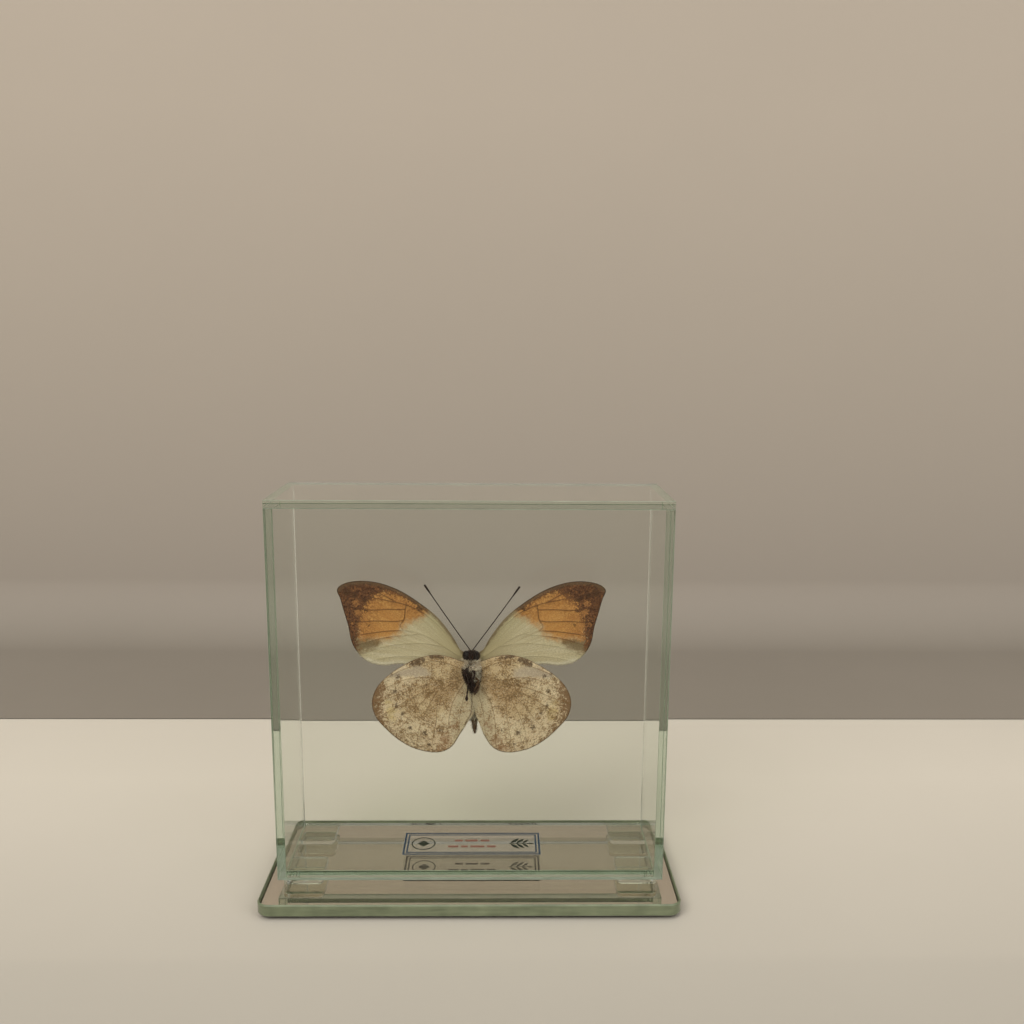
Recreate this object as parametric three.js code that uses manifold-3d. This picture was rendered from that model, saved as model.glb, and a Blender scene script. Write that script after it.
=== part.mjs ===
// A spread butterfly inside a closed box of six glass panes, on a mirror-glass base.
// Millimetres, +Z up, the box's broad front faces -Y. The origin is on the table,
// under the middle of the base. The butterfly shows its underside to the front.

import * as THREE from "three";
import { mergeVertices } from "three/addons/utils/BufferGeometryUtils.js";
import Module from "manifold-3d";

const wasm = await Module();
wasm.setup();

// ---- driving dimensions ----------------------------------------------------

const BASE_WIDTH = 131;
const BASE_DEPTH = 55;
const BASE_THICK = 4;
const BASE_CORNER = 4;

const FOOT_RADIUS = 4.5;
const FOOT_HEIGHT = 1.2;
const FOOT_INSET = 9;

const PAD_SIDE = 12.7;
const PAD_THICK = 1.5;
const PAD_CORNER = 2;
const PAD_INSET_X = 1.6;
const PAD_INSET_Y = 0.2;

const BOX_WIDTH = 122;
const BOX_DEPTH = 35.7;
const BOX_HEIGHT = 122;
const BOX_SHIFT_Y = 1.7; // the box stands a little behind the base's middle
const GLASS = 2.5;

const LABEL_WIDTH = 46;
const LABEL_DEPTH = 14.6;
const LABEL_THICK = 0.2;
const LABEL_CORNER = 0.4;
const LABEL_Y = 2.7;

const WING_THICK = 0.5;
const FOREWING_Y = 2.8; // back face of the forewings
const HINDWING_Y = 1.9; // back face of the hindwings, which lie in front

// Wing outlines for the right side, as x from the body's middle and z above the
// table. Each starts at the root's front, runs round the tip and ends at the
// root's rear, where a straight edge along the body closes it.
const FOREWING = [
  [3.3, 76.0], [6.1, 81.4], [10.9, 87.8], [16.8, 92.7], [22.8, 96.6], [29.0, 99.0],
  [35.2, 99.8], [40.4, 99.0], [42.8, 97.0], [41.8, 94.1], [40.7, 89.8], [39.4, 85.1],
  [38.5, 80.0], [36.6, 76.3], [33.1, 73.1], [28.4, 71.9], [23.1, 72.3], [13.0, 71.4],
  [3.3, 71.2],
];
const HINDWING = [
  [3.2, 73.4], [6.9, 74.9], [12.1, 75.6], [17.4, 74.4], [21.8, 72.2], [26.3, 69.3],
  [30.4, 65.1], [32.3, 60.0], [31.3, 54.9], [28.1, 50.6], [23.6, 46.3], [18.1, 43.2],
  [11.6, 42.1], [6.9, 43.9], [3.8, 48.7], [1.3, 54.0], [0.4, 58.0], [0.8, 62.2],
  [3.2, 66.0],
];

// The body's swellings, each an ellipsoid: half sizes, middle, and lean in radians.
const THORAX = { half: [2.85, 3.2, 5.6], middle: [0, 1.6, 68.6], lean: 0 };
const HEAD = { half: [1.6, 1.5, 1.5], middle: [-0.1, 1.2, 75.2], lean: 0 };
const EYE_LEFT = { half: [1.25, 1.3, 1.5], middle: [-1.6, 0.7, 75.7], lean: 0 };
const EYE_RIGHT = { half: [1.25, 1.3, 1.5], middle: [1.4, 0.7, 75.6], lean: 0 };
const NECK = { half: [1.3, 1.3, 1.6], middle: [0, 1.6, 73.8], lean: 0 };
const ABDOMEN = { half: [1.7, 1.75, 9.4], middle: [0.5, 3.95, 57.0], lean: -0.055 };

// Root and tip of each antenna.
const ANTENNAE = {
  antenna_left: [[-1.15, 1.4, 78.1], [-14.9, 1.9, 98.8]],
  antenna_right: [[0.95, 1.4, 78.0], [15.3, 1.9, 98.3]],
};
const ANTENNA_ROOT_RADIUS = 0.18;
const ANTENNA_CLUB_RADIUS = 0.34;

const LEG_HIP = [-1.05, -1.75, 67.4];
const LEG_ANKLE = [-1.45, -2.0, 62.3];
const LEG_HIP_RADIUS = 0.3;
const LEG_ANKLE_RADIUS = 0.26;
const LEG_KNOB = { half: [0.55, 0.5, 0.8], middle: [-1.5, -2.0, 62.2], lean: 0 };

const STEM_RADIUS = 1.25;
const STEM_CLEARANCE = 0.3; // air between the thorax and the glue that meets it
const GLUE_THICK = 0.7;
const GLUE_RADIUS = 2.2;

// ---- how finely round shapes are cut ----------------------------------------

const CORNER_STEPS = 12;
const OUTLINE_STEPS = 3; // between two neighbouring points of a wing's outline
const DISC_SIDES = 32;
const BODY_SIDES = 24;
const ANTENNA_SIDES = 10;
const LEG_SIDES = 12;

// ---- levels worked out from the dimensions ----------------------------------

const baseTop = FOOT_HEIGHT + BASE_THICK;
const boxBottom = baseTop + PAD_THICK;
const boxTop = boxBottom + BOX_HEIGHT;
const boxFront = BOX_SHIFT_Y - BOX_DEPTH / 2;
const boxBack = BOX_SHIFT_Y + BOX_DEPTH / 2;

// ---- helpers ----------------------------------------------------------------

const part = new THREE.Group();

function addMesh(name, geometry, colour, roughness = 0.5, metalness = 0) {
  const material = new THREE.MeshStandardMaterial({ color: colour, roughness, metalness });
  const mesh = new THREE.Mesh(geometry, material);
  mesh.name = name;
  part.add(mesh);
  return mesh;
}

function roundedRectangle(width, depth, radius) {
  const x = width / 2;
  const y = depth / 2;
  const shape = new THREE.Shape();
  shape.moveTo(-x + radius, -y);
  shape.lineTo(x - radius, -y);
  shape.absarc(x - radius, -y + radius, radius, -Math.PI / 2, 0);
  shape.lineTo(x, y - radius);
  shape.absarc(x - radius, y - radius, radius, 0, Math.PI / 2);
  shape.lineTo(-x + radius, y);
  shape.absarc(-x + radius, y - radius, radius, Math.PI / 2, Math.PI);
  shape.lineTo(-x, -y + radius);
  shape.absarc(-x + radius, -y + radius, radius, Math.PI, Math.PI * 1.5);
  return shape;
}

// A flat plate with its outline in the XY plane and its underside at z = 0.
function plate(shape, thickness) {
  return new THREE.ExtrudeGeometry(shape, {
    depth: thickness,
    bevelEnabled: false,
    curveSegments: CORNER_STEPS,
  });
}

// The four places at x to either side, and y at the front and at the back.
function fourCorners(x, front, back) {
  return {
    front_left: [-x, front],
    front_right: [x, front],
    back_left: [-x, back],
    back_right: [x, back],
  };
}

function swelling({ half, middle, lean }, sides = BODY_SIDES) {
  const sphere = new THREE.SphereGeometry(1, sides, sides / 2);
  return sphere.scale(...half).rotateY(lean).translate(...middle);
}

// A slender round rod between two points, with its own radius at each end.
function taperedRod(from, to, radiusFrom, radiusTo, sides) {
  const start = new THREE.Vector3(...from);
  const end = new THREE.Vector3(...to);
  const run = new THREE.Vector3().subVectors(end, start);
  const rod = new THREE.CylinderGeometry(radiusTo, radiusFrom, run.length(), sides);
  const up = new THREE.Vector3(0, 1, 0);
  rod.applyQuaternion(new THREE.Quaternion().setFromUnitVectors(up, run.normalize()));
  const middle = start.add(end).multiplyScalar(0.5);
  return rod.translate(middle.x, middle.y, middle.z);
}

function toManifold(geometry) {
  const bare = geometry.clone();
  bare.deleteAttribute("normal");
  bare.deleteAttribute("uv");
  const merged = mergeVertices(bare, 1e-4);
  const vertProperties = new Float32Array(merged.attributes.position.array);
  const triVerts = new Uint32Array(merged.index.array);
  return new wasm.Manifold(new wasm.Mesh({ numProp: 3, vertProperties, triVerts }));
}

function fromManifold(solid) {
  const mesh = solid.getMesh();
  const geometry = new THREE.BufferGeometry();
  geometry.setAttribute("position", new THREE.BufferAttribute(mesh.vertProperties, 3));
  geometry.setIndex(new THREE.BufferAttribute(mesh.triVerts, 1));
  return geometry;
}

function joined(geometries) {
  const solids = geometries.map(toManifold);
  return fromManifold(solids.reduce((sum, solid) => sum.add(solid)));
}

// ---- base: mirror-glass plate on four low feet ------------------------------

function buildBase() {
  const outline = roundedRectangle(BASE_WIDTH, BASE_DEPTH, BASE_CORNER);
  const base = addMesh("mirror_base", plate(outline, BASE_THICK), 0x8f8a80, 0.05, 0.9);
  base.position.z = FOOT_HEIGHT;

  const x = BASE_WIDTH / 2 - FOOT_INSET;
  const y = BASE_DEPTH / 2 - FOOT_INSET;
  for (const [corner, [footX, footY]] of Object.entries(fourCorners(x, -y, y))) {
    const disc = new THREE.CylinderGeometry(FOOT_RADIUS, FOOT_RADIUS, FOOT_HEIGHT, DISC_SIDES);
    disc.rotateX(Math.PI / 2);
    const foot = addMesh(`foot_${corner}`, disc, 0x1c1c1c, 0.8);
    foot.position.set(footX, footY, FOOT_HEIGHT / 2);
  }
}

// ---- clear square pads that hold the box off the base -----------------------

function buildPads() {
  const outline = roundedRectangle(PAD_SIDE, PAD_SIDE, PAD_CORNER);
  const x = BOX_WIDTH / 2 - PAD_INSET_X - PAD_SIDE / 2;
  const front = boxFront + PAD_INSET_Y + PAD_SIDE / 2;
  const back = boxBack - PAD_INSET_Y - PAD_SIDE / 2;
  for (const [corner, [padX, padY]] of Object.entries(fourCorners(x, front, back))) {
    const pad = addMesh(`pad_${corner}`, plate(outline, PAD_THICK), 0xdfe6e2, 0.2);
    pad.position.set(padX, padY, baseTop);
  }
}

// ---- six glass panes, glued edge to face ------------------------------------

// The front and back run the full width, the sides and the bottom fit between
// them, and the top lies over all four walls.
function buildPanes() {
  const wallHeight = BOX_HEIGHT - GLASS;
  const wallZ = boxBottom + wallHeight / 2;
  const innerWidth = BOX_WIDTH - 2 * GLASS;
  const innerDepth = BOX_DEPTH - 2 * GLASS;
  const half = GLASS / 2;
  const panes = {
    pane_front: [[BOX_WIDTH, GLASS, wallHeight], [0, boxFront + half, wallZ]],
    pane_back: [[BOX_WIDTH, GLASS, wallHeight], [0, boxBack - half, wallZ]],
    pane_left: [[GLASS, innerDepth, wallHeight], [-BOX_WIDTH / 2 + half, BOX_SHIFT_Y, wallZ]],
    pane_right: [[GLASS, innerDepth, wallHeight], [BOX_WIDTH / 2 - half, BOX_SHIFT_Y, wallZ]],
    pane_bottom: [[innerWidth, innerDepth, GLASS], [0, BOX_SHIFT_Y, boxBottom + half]],
    pane_top: [[BOX_WIDTH, BOX_DEPTH, GLASS], [0, BOX_SHIFT_Y, boxTop - half]],
  };
  for (const [name, [size, place]] of Object.entries(panes)) {
    const pane = addMesh(name, new THREE.BoxGeometry(...size), 0xcfe3da, 0.03);
    pane.position.set(...place);
  }
}

// ---- printed film label lying on the bottom pane ----------------------------

function buildLabel() {
  const outline = roundedRectangle(LABEL_WIDTH, LABEL_DEPTH, LABEL_CORNER);
  const label = addMesh("label_film", plate(outline, LABEL_THICK), 0xc9ccd6, 0.4);
  label.position.set(0, LABEL_Y, boxBottom + GLASS);
}

// ---- butterfly --------------------------------------------------------------

function addWing(name, outline, side, backFaceY, colour) {
  const points = outline.map(([x, z]) => new THREE.Vector2(side * x, z));
  const shape = new THREE.Shape();
  shape.moveTo(points[0].x, points[0].y);
  shape.splineThru(points.slice(1));
  const blade = new THREE.ExtrudeGeometry(shape, {
    depth: WING_THICK,
    bevelEnabled: false,
    curveSegments: OUTLINE_STEPS,
  });
  const wing = addMesh(name, blade, colour, 0.7);
  wing.rotation.x = Math.PI / 2; // the outline's y becomes z, the thickness runs to -Y
  wing.position.y = backFaceY;
}

function buildWings() {
  for (const [sideName, side] of [["left", -1], ["right", 1]]) {
    addWing(`forewing_${sideName}`, FOREWING, side, FOREWING_Y, 0xd9863c);
    addWing(`hindwing_${sideName}`, HINDWING, side, HINDWING_Y, 0xb9a67e);
  }
}

// Head with both eyes, thorax and abdomen, grown as one piece. The abdomen lies
// behind the hindwings' inner edges, and its tip shows in the notch below them.
function buildBody() {
  const parts = [THORAX, HEAD, EYE_LEFT, EYE_RIGHT, NECK, ABDOMEN];
  addMesh("butterfly_body", joined(parts.map((shape) => swelling(shape))), 0x3a3230, 0.8);
}

function buildAntennae() {
  for (const [name, [root, tip]] of Object.entries(ANTENNAE)) {
    const rod = taperedRod(root, tip, ANTENNA_ROOT_RADIUS, ANTENNA_CLUB_RADIUS, ANTENNA_SIDES);
    addMesh(name, rod, 0x2a2422, 0.6);
  }
}

// One dried leg hangs clear of the thorax and ends in its knobbed foot.
function buildLeg() {
  const shin = taperedRod(LEG_HIP, LEG_ANKLE, LEG_HIP_RADIUS, LEG_ANKLE_RADIUS, LEG_SIDES);
  addMesh("leg_hanging", joined([shin, swelling(LEG_KNOB, LEG_SIDES)]), 0x1d1a19, 0.6);
}

// Clear stem from the back pane to the upper side of the thorax, with a dot of
// clear glue at each end.
function buildSupport() {
  const thoraxBack = THORAX.middle[1] + THORAX.half[1] + STEM_CLEARANCE;
  const paneFace = boxBack - GLASS;
  const stemStart = thoraxBack + GLUE_THICK;
  const stemEnd = paneFace - GLUE_THICK;
  const pieces = {
    glue_dot_thorax: [GLUE_RADIUS, thoraxBack, stemStart],
    support_stem: [STEM_RADIUS, stemStart, stemEnd],
    glue_dot_pane: [GLUE_RADIUS, stemEnd, paneFace],
  };
  for (const [name, [radius, from, to]] of Object.entries(pieces)) {
    const disc = new THREE.CylinderGeometry(radius, radius, to - from, DISC_SIDES);
    const piece = addMesh(name, disc, 0xe4ebe8, 0.08);
    piece.position.set(0, (from + to) / 2, THORAX.middle[2]);
  }
}

buildBase();
buildPads();
buildPanes();
buildLabel();
buildWings();
buildBody();
buildAntennae();
buildLeg();
buildSupport();

export default part;
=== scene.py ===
# A spread butterfly, underside to the front, in a closed glass box on a mirror-glass
# base: the finish of every piece and the fine shapes that the plain solids leave out.
import math

import bmesh
import bpy
import numpy as np
from mathutils import Matrix, Vector, geometry, noise


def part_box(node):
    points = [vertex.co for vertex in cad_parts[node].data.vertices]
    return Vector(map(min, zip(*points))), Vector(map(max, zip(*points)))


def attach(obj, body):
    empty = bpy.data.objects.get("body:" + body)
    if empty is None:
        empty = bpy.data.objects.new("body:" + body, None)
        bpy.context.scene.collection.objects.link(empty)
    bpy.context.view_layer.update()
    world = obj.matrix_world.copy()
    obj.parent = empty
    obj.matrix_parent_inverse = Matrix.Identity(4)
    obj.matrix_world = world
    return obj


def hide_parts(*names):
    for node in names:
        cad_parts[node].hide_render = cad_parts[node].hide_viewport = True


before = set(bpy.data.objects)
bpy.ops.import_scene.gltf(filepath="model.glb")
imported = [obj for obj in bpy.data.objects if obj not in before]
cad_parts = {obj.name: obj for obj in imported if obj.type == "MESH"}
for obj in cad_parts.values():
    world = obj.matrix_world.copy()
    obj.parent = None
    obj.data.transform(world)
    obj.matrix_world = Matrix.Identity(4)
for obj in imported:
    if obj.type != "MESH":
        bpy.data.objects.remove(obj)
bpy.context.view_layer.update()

MM = 0.001
SIDES = {"left": -1, "right": 1}

# ---- camera and stage sizes, millimetres and radians -------------------------------------

CAMERA_AT = (8.61, -296.63, 176.15)
CAMERA_YAW = 0.0138
CAMERA_PITCH = 0.179
CAMERA_ROLL = 0.0059
LENS = 33.93

FLOOR_SIDE = 3200.0
SWEEP_FRONT = 131.0  # the backdrop paper starts on the floor here
SWEEP_WALL = 262.0
SWEEP_BEND = 34.0
SWEEP_HEIGHT = 1300.0
SWEEP_LIFT = 0.4
FLAG_EDGE = -46.0
FLAG_LIFT = 0.6
GLASS_BOUNCES = 48
ROOM_GLOW = 0.44

# Place, aim, width and watts of each lamp, its colour, and whether the mirror and the glass show
# it, which they do where it is wide enough not to glare there.
LAMPS = {
    "key": ((-700, -900, 1150), (0, 0, 60), 900, 14.0, 0xFFFDFA, False),
    "fill": ((900, -700, 700), (0, 0, 60), 900, 5.0, 0xFFFFFF, False),
    "top": ((0, -60, 1250), (0, 0, 0), 2400, 12.7, 0xFFFFFF, True),
}

# ---- sizes of the fine shapes, millimetres -----------------------------------------------

PANE_GAP = 0.015
PANE_ARRIS = 0.09
BASE_ARRIS = 0.4
BASE_CORNER = 4.0
FOOT_CORNER = 4.5
PAD_CORNER = 1.6
PAINT_THICK = 0.05
# A foot's edge from the underside up, as inset and height.
FOOT_PROFILE = [(1.1, 0.25), (0.75, 0.25), (0.55, 0.0), (0.25, 0.05), (0.05, 0.3), (0.0, 0.6),
                (0.0, 1.2)]
FILM_PROFILE = [(0.05, 0.01), (0, 0.03), (0, 0.09), (0.05, 0.11)]
INK_LIFT = 0.125
INK_THICK = 0.03
BORDERS = ((0.3, 0.62), (1.45, 0.5))  # inset and width of the label's ruled borders
WORDS = ((3.4, 2.2, 4.6, 2.9), (2.6, 4.2, 3.0))  # the bars of its two lines
WORD_GAP = 0.9
WORD_HALF = 0.55
LINE_SHIFT = 1.9
SPRIG_START = 12.4
RING_CENTRE = -16.2
RING_RADIUS = 4.0
WING_STEP = 0.36
WING_SKIN = 0.13
RIM_SKIN = 0.05
RIM_WIDTH = 1.2  # the wing thins out towards its margin from here
TIP_BOW = -1.0
EDGE_BOW = 0.5
SKIN_HOLLOW = 0.08
SKIN_WAVE = 0.22
VEIN_RIDGE = 0.025
VEIN_ROOT = 0.1
VEIN_TIP = 0.045
VEIN_PROUD = 0.02
EDGE_BAND = 1.5
GRAIN_TURN = 22.0  # the grain runs out from the root, this wide to a radian
BODY_EDGE = 3.5  # nearer the middle than this a wing meets the body
BODY_FOOT = 67.0
ROOT_TUCK = 1.1
WING_MEETING = 0.03  # the hindwings' inner edges meet this far from the middle
SEAM_HEIGHTS = [54.0, 57.0, 63.0, 66.0]  # the line where they meet leans by these shifts
SEAM_SHIFTS = [0.9, 0.9, -0.8, 0.0]
SEAM_REACH = 4.0
MERGE_REACH = 0.002
BODY_VOXEL = 0.13
ABDOMEN_TIP = 47.5
ABDOMEN_LENGTH = 19.0
ABDOMEN_TOP = 65.5
ABDOMEN_RINGS = 8
RING_GROOVE = 0.16
SKIN_LUMP = 0.06
ABDOMEN_LUMP = 0.03  # what the abdomen and the thorax have on top of that
THORAX_LUMP = 0.2
EYES = {"left": (-1.6, 0.5, 75.8), "right": (1.45, 0.5, 75.7)}
EYE_HALF = (1.36, 1.36, 1.58)
PALP = [(0.45, -0.3, 74.7), (0.5, -0.95, 75.3), (0.42, -1.25, 76.1), (0.3, -1.2, 76.9)]
PALP_SHIFT = -0.1
COIL_CENTRE = (-0.1, -0.75, 74.1)
COIL_RADIUS = 0.62
COIL_TURNS = 2.3
COIL_STEP = 0.032  # how much a radian of the coil draws in
THORAX_SLIM = 0.42
THORAX_LEAN = 0.7
ABDOMEN_SLIM = 0.34
ANTENNA_RINGS = 150
SHAFT_RADIUS = 0.17
CLUB_START = 0.84
CLUB_SWELL = 0.17
RING_DEPTH = 0.16
SOCKET_REACH = 2.3  # an antenna starts this far inside the head

# The right wings: how far back each lies, its root, its front edge, and its veins from root to
# margin, as x from the body's middle and z above the table. The left wings mirror them.
WING_Y = {"forewing": 2.55, "hindwing": 1.65}
WING_ROOT = {"forewing": (2.2, 73.6), "hindwing": (1.8, 68.2)}
WING_COSTA = {
    "forewing": [(2.2, 76.0), (6.1, 81.4), (10.9, 87.8), (16.8, 92.7), (22.8, 96.6), (29.0, 99.0),
                 (35.2, 99.8), (40.4, 99.0), (42.8, 97.0)],
    "hindwing": [(2.1, 73.4), (6.9, 74.9), (12.1, 75.6), (17.4, 74.4), (21.8, 72.2), (26.3, 69.3)],
}
FOREWING_VEINS = {
    "radius": [(2.4, 74.4), (6.0, 79.7), (10.3, 84.9), (15.2, 89.1), (20.9, 91.9), (27, 93.4),
               (33, 94.7), (38.5, 96.2), (42.2, 96.4)],
    "radial_fork": [(24, 92.8), (29, 95.6), (34, 97.6), (38.5, 99.2)],
    "subcosta": [(2.6, 75.2), (6.2, 80.8), (11, 86.8), (16.8, 91.6), (22.5, 95.2), (28.6, 98.4)],
    "cell_end": [(20.9, 91.9), (21.3, 89.4), (21.7, 86.9), (22.9, 85.1), (21.9, 83.5)],
    "media_1": [(21.2, 90.4), (26, 90.5), (33, 90.4), (41.2, 92.0)],
    "media_2": [(21.7, 86.9), (24.5, 86.5), (31, 86.7), (36, 86.5), (40.2, 87.4)],
    "media_3": [(21.9, 83.5), (27, 83.3), (33, 82.6), (39.0, 81.6)],
    "cubitus": [(2.4, 73.7), (8.5, 77.9), (14, 81.4), (18, 82.9), (21.9, 83.5)],
    "cubital_1": [(16.5, 82.4), (22, 81.9), (29, 80.9), (34, 79.6), (38.2, 78.6)],
    "cubital_2": [(8.9, 78.1), (15.2, 79.2), (21.6, 79.1), (29, 78.0), (35.8, 75.6)],
    "anal": [(2.4, 72.6), (13, 74.4), (21.6, 75.0), (28, 74.4), (32.6, 73.2)],
}
HINDWING_VEINS = {
    "subcosta": [(2.0, 69.8), (6.5, 72.4), (12.5, 73.6), (19, 71.9), (24.5, 69.6), (28.2, 67.2)],
    "radius": [(2.0, 68.6), (6.3, 68.0), (10.5, 67.2), (15.2, 68.1), (21.6, 67.3), (27.4, 64.8),
               (31.4, 62.9)],
    "media_1": [(13.6, 65.8), (18.5, 64.4), (25, 61.8), (32.0, 59.3)],
    "media_2": [(14.0, 63.9), (19, 61.5), (25, 57.6), (30.9, 54.3)],
    "media_3": [(13.2, 62.7), (17, 58.6), (21.8, 52.4), (26.6, 49.0)],
    "cell_end": [(12.6, 67.6), (13.6, 65.8), (14.0, 63.9), (13.2, 62.7)],
    "cubitus": [(2.2, 67.9), (6.3, 66.2), (9.4, 64.1), (13.2, 62.7)],
    "cubital_1": [(11.2, 63.2), (14.6, 57.2), (17.2, 50.4), (18.3, 43.4)],
    "cubital_2": [(8.9, 64.4), (11.1, 60.2), (11.6, 53.3), (12.8, 46.3), (13.0, 42.3)],
    "anal_1": [(2.4, 66.2), (6.3, 59.2), (7.6, 52.2), (7.8, 43.8)],
    "anal_2": [(1.8, 64.0), (3.6, 57.0), (4.2, 52.0), (4.6, 47.8)],
}

# Patches of scales of one colour, on the right wings: closed outlines in the same
# coordinates.
FOREWING_PATCHES = {
    "orange": [(13.6, 90.4), (17.0, 93.4), (21, 96.0), (25, 97.6), (29.5, 97.6), (35.8, 96.0),
               (38.0, 90), (37.4, 85), (36.4, 81.2), (30.5, 80.1), (26.5, 80.7), (23.4, 82.4),
               (21.9, 84.9), (19.8, 86.0), (16.0, 88.0)],
    "dusk": [(12.8, 90.6), (16, 94.5), (23.5, 99.0), (29, 101.5), (36, 102.5), (45, 100),
             (44.5, 93), (42.5, 85), (40.6, 79), (38.4, 75.8), (36.6, 77.6), (36.2, 80.8),
             (35.6, 84.2), (35.0, 87.8), (33.8, 91.2), (31.8, 93.6), (29.4, 95.3), (26.0, 95.9),
             (22.4, 95.0), (17.2, 91.4)],
    "olive": [(38.6, 80.6), (33.6, 80.8), (29.8, 80.3), (29.0, 79.1), (32, 77.4), (35, 76.4),
              (37.6, 75.6), (39.2, 78)],
    "rear": [(0, 70), (2, 72.2), (13, 72.4), (23, 73.1), (29, 73.1), (33.6, 74.4), (34.4, 72.6),
             (29, 70.2), (22, 70.6), (12, 69.9)],
}
HINDWING_PATCHES = {
    "gold": [(1.5, 72.5), (7, 75.4), (14, 75.4), (20, 73.2), (14.2, 70.2), (13.6, 68.2), (17, 66),
             (21, 62), (23, 57), (18, 54.4), (12, 54.2), (8.6, 57), (5.4, 62), (2.6, 65.6)],
    "brown": [(2.5, 68.2), (8, 67.0), (14.6, 66.4), (16.4, 64), (14.8, 60.6), (10, 59.2),
              (5.6, 61.4), (3.4, 65.0)],
    "white": [(13.4, 68.5), (14.9, 71.1), (18.8, 71.7), (23.2, 70.4), (26.8, 68.2), (24.6, 67.7),
              (19.4, 68.2)],
    "rim": [(28.6, 66.4), (34.5, 65), (35, 56), (31, 48), (25, 43.6), (22.9, 46.8), (26.6, 50.2),
            (28.9, 54), (29.5, 58.2), (28.9, 62)],
    "inner": [(-1, 66.5), (3.0, 64.8), (5.2, 60.2), (6.6, 55), (7.0, 50), (5.4, 44.6), (-1, 50)],
}

# Round marks on the right wings: x, z and radius.
FOREWING_MARKS = {
    "peach": [(36.9, 92.6, 1.0), (36.3, 89.5, 1.1), (35.2, 85.4, 1.2), (35.0, 81.4, 1.3),
              (37.9, 86.0, 0.6), (33.9, 88.0, 0.7)],
    "umber": [(16.6, 90.9, 0.95), (33.7, 90.2, 0.4), (33.0, 85.3, 0.35), (34.1, 93.6, 0.6),
              (39.6, 96.2, 1.1), (37.2, 95.2, 0.8)],
}
HINDWING_MARKS = {
    "umber": [(24.8, 63.3, 0.65), (24.4, 58.4, 0.6), (22.5, 55.6, 0.45), (20.1, 50.8, 0.65),
              (15.2, 49.0, 0.65), (10.1, 49.9, 0.45), (13.9, 44.8, 0.4), (23.6, 68.5, 0.6),
              (25.7, 69.2, 0.5), (17.4, 73.2, 1.25), (18.9, 72.6, 0.9), (15.8, 73.9, 0.9),
              (12.9, 75.1, 0.8), (11.0, 75.0, 0.7), (9.4, 74.6, 0.5), (14.6, 65.6, 0.4)],
    "rust": [(8.4, 46.4, 1.9), (9.6, 44.0, 1.5), (5.8, 51.2, 1.0), (5.0, 52.2, 0.7)],
    "straw": [(26.2, 56.6, 1.5), (26.0, 54.6, 1.2), (27.0, 59.4, 0.9)],
}

LEG_HIP = Vector((-0.9, -1.2, 68.2))
LEG_BENDS = [(-1.0, -1.9, 66.6), (-1.2, -2.05, 65.0), (-1.42, -2.0, 63.4), (-1.5, -2.0, 62.3)]
LEG_FOOT = (-1.52, -2.0, 62.2)

# Legs folded against the thorax: hip, knee, ankle and claw.
FOLDED_LEGS = [
    [(-0.7, -0.6, 72.0), (-2.3, -1.9, 71.4), (-1.2, -2.5, 69.4), (-0.7, -2.5, 67.6)],
    [(-0.9, -0.9, 70.6), (-2.6, -1.7, 70.0), (-1.6, -2.5, 68.0), (-0.3, -2.4, 66.6)],
    [(0.5, -0.6, 71.4), (1.1, -2.1, 70.4), (0.6, -2.6, 68.8), (0.3, -2.5, 67.2)],
    [(0.9, -0.9, 69.2), (2.3, -1.6, 68.2), (1.7, -2.3, 66.6), (0.9, -2.4, 64.9)],
    [(0.8, -0.9, 67.4), (2.4, -1.0, 65.9), (1.5, -1.8, 64.0), (0.8, -1.7, 63.2)],
]


# ---- small tools -------------------------------------------------------------------------


def tone(colour):
    """A colour written as an sRGB hex number, as the linear colour that shaders take."""
    shares = [((colour >> shift) & 255) / 255 for shift in (16, 8, 0)]
    return (*[s / 12.92 if s <= 0.04045 else ((s + 0.055) / 1.055) ** 2.4 for s in shares], 1)


def add(tree, kind, inputs=None, stops=None, **settings):
    """One node of a tree, with its settings, the stops of its ramp, and its inputs by name or
    number, each a value, what feeds it, or for a number the name of the mesh's field."""
    made = tree.nodes.new(kind)
    for setting, value in settings.items():
        setattr(made, setting, value)
    for number, (place, colour) in enumerate(stops or []):
        ends = made.color_ramp.elements
        stop = ends[number] if number < 2 else ends.new(place)
        stop.position = place
        stop.color = tone(colour)
    for socket, value in (inputs or {}).items():
        if isinstance(value, str) and made.inputs[socket].type == "VALUE":
            value = add(tree, "ShaderNodeAttribute", attribute_name=value).outputs["Fac"]
        if isinstance(value, bpy.types.NodeSocket):
            tree.links.new(value, made.inputs[socket])
        elif isinstance(value, bpy.types.Node):
            tree.links.new(value.outputs[0], made.inputs[socket])
        else:
            made.inputs[socket].default_value = value
    return made


def material(name, build, **values):
    """A material whose nodes build(tree, ...) makes; build returns its surface and, if it has
    one, its volume."""
    made = bpy.data.materials.new(name)
    made.use_nodes = True
    tree = made.node_tree
    tree.nodes.clear()
    surface, volume = build(tree, **values)
    ends = {"Surface": surface}
    if volume:
        ends["Volume"] = volume
    add(tree, "ShaderNodeOutputMaterial", ends)
    return made


def placed(name, data):
    """An object that shows some data, in the scene."""
    made = bpy.data.objects.new(name, data)
    bpy.context.scene.collection.objects.link(made)
    return made


def dressed(mesh, materials, smooth):
    """An object that shows a mesh in its materials."""
    for one in materials:
        mesh.materials.append(one)
    mesh.polygons.foreach_set("use_smooth", [smooth] * len(mesh.polygons))
    return placed(mesh.name, mesh)


def mesh_piece(name, points, faces, materials, smooth=True, edges=()):
    """A mesh object from points in millimetres."""
    mesh = bpy.data.meshes.new(name)
    mesh.from_pydata([tuple(c * MM for c in p) for p in points], edges, faces)
    return dressed(mesh, materials, smooth)


def shape_piece(name, shape, materials, smooth=False):
    """A mesh object from a bmesh, which it uses up."""
    mesh = bpy.data.meshes.new(name)
    shape.to_mesh(mesh)
    shape.free()
    return dressed(mesh, materials, smooth)


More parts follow.
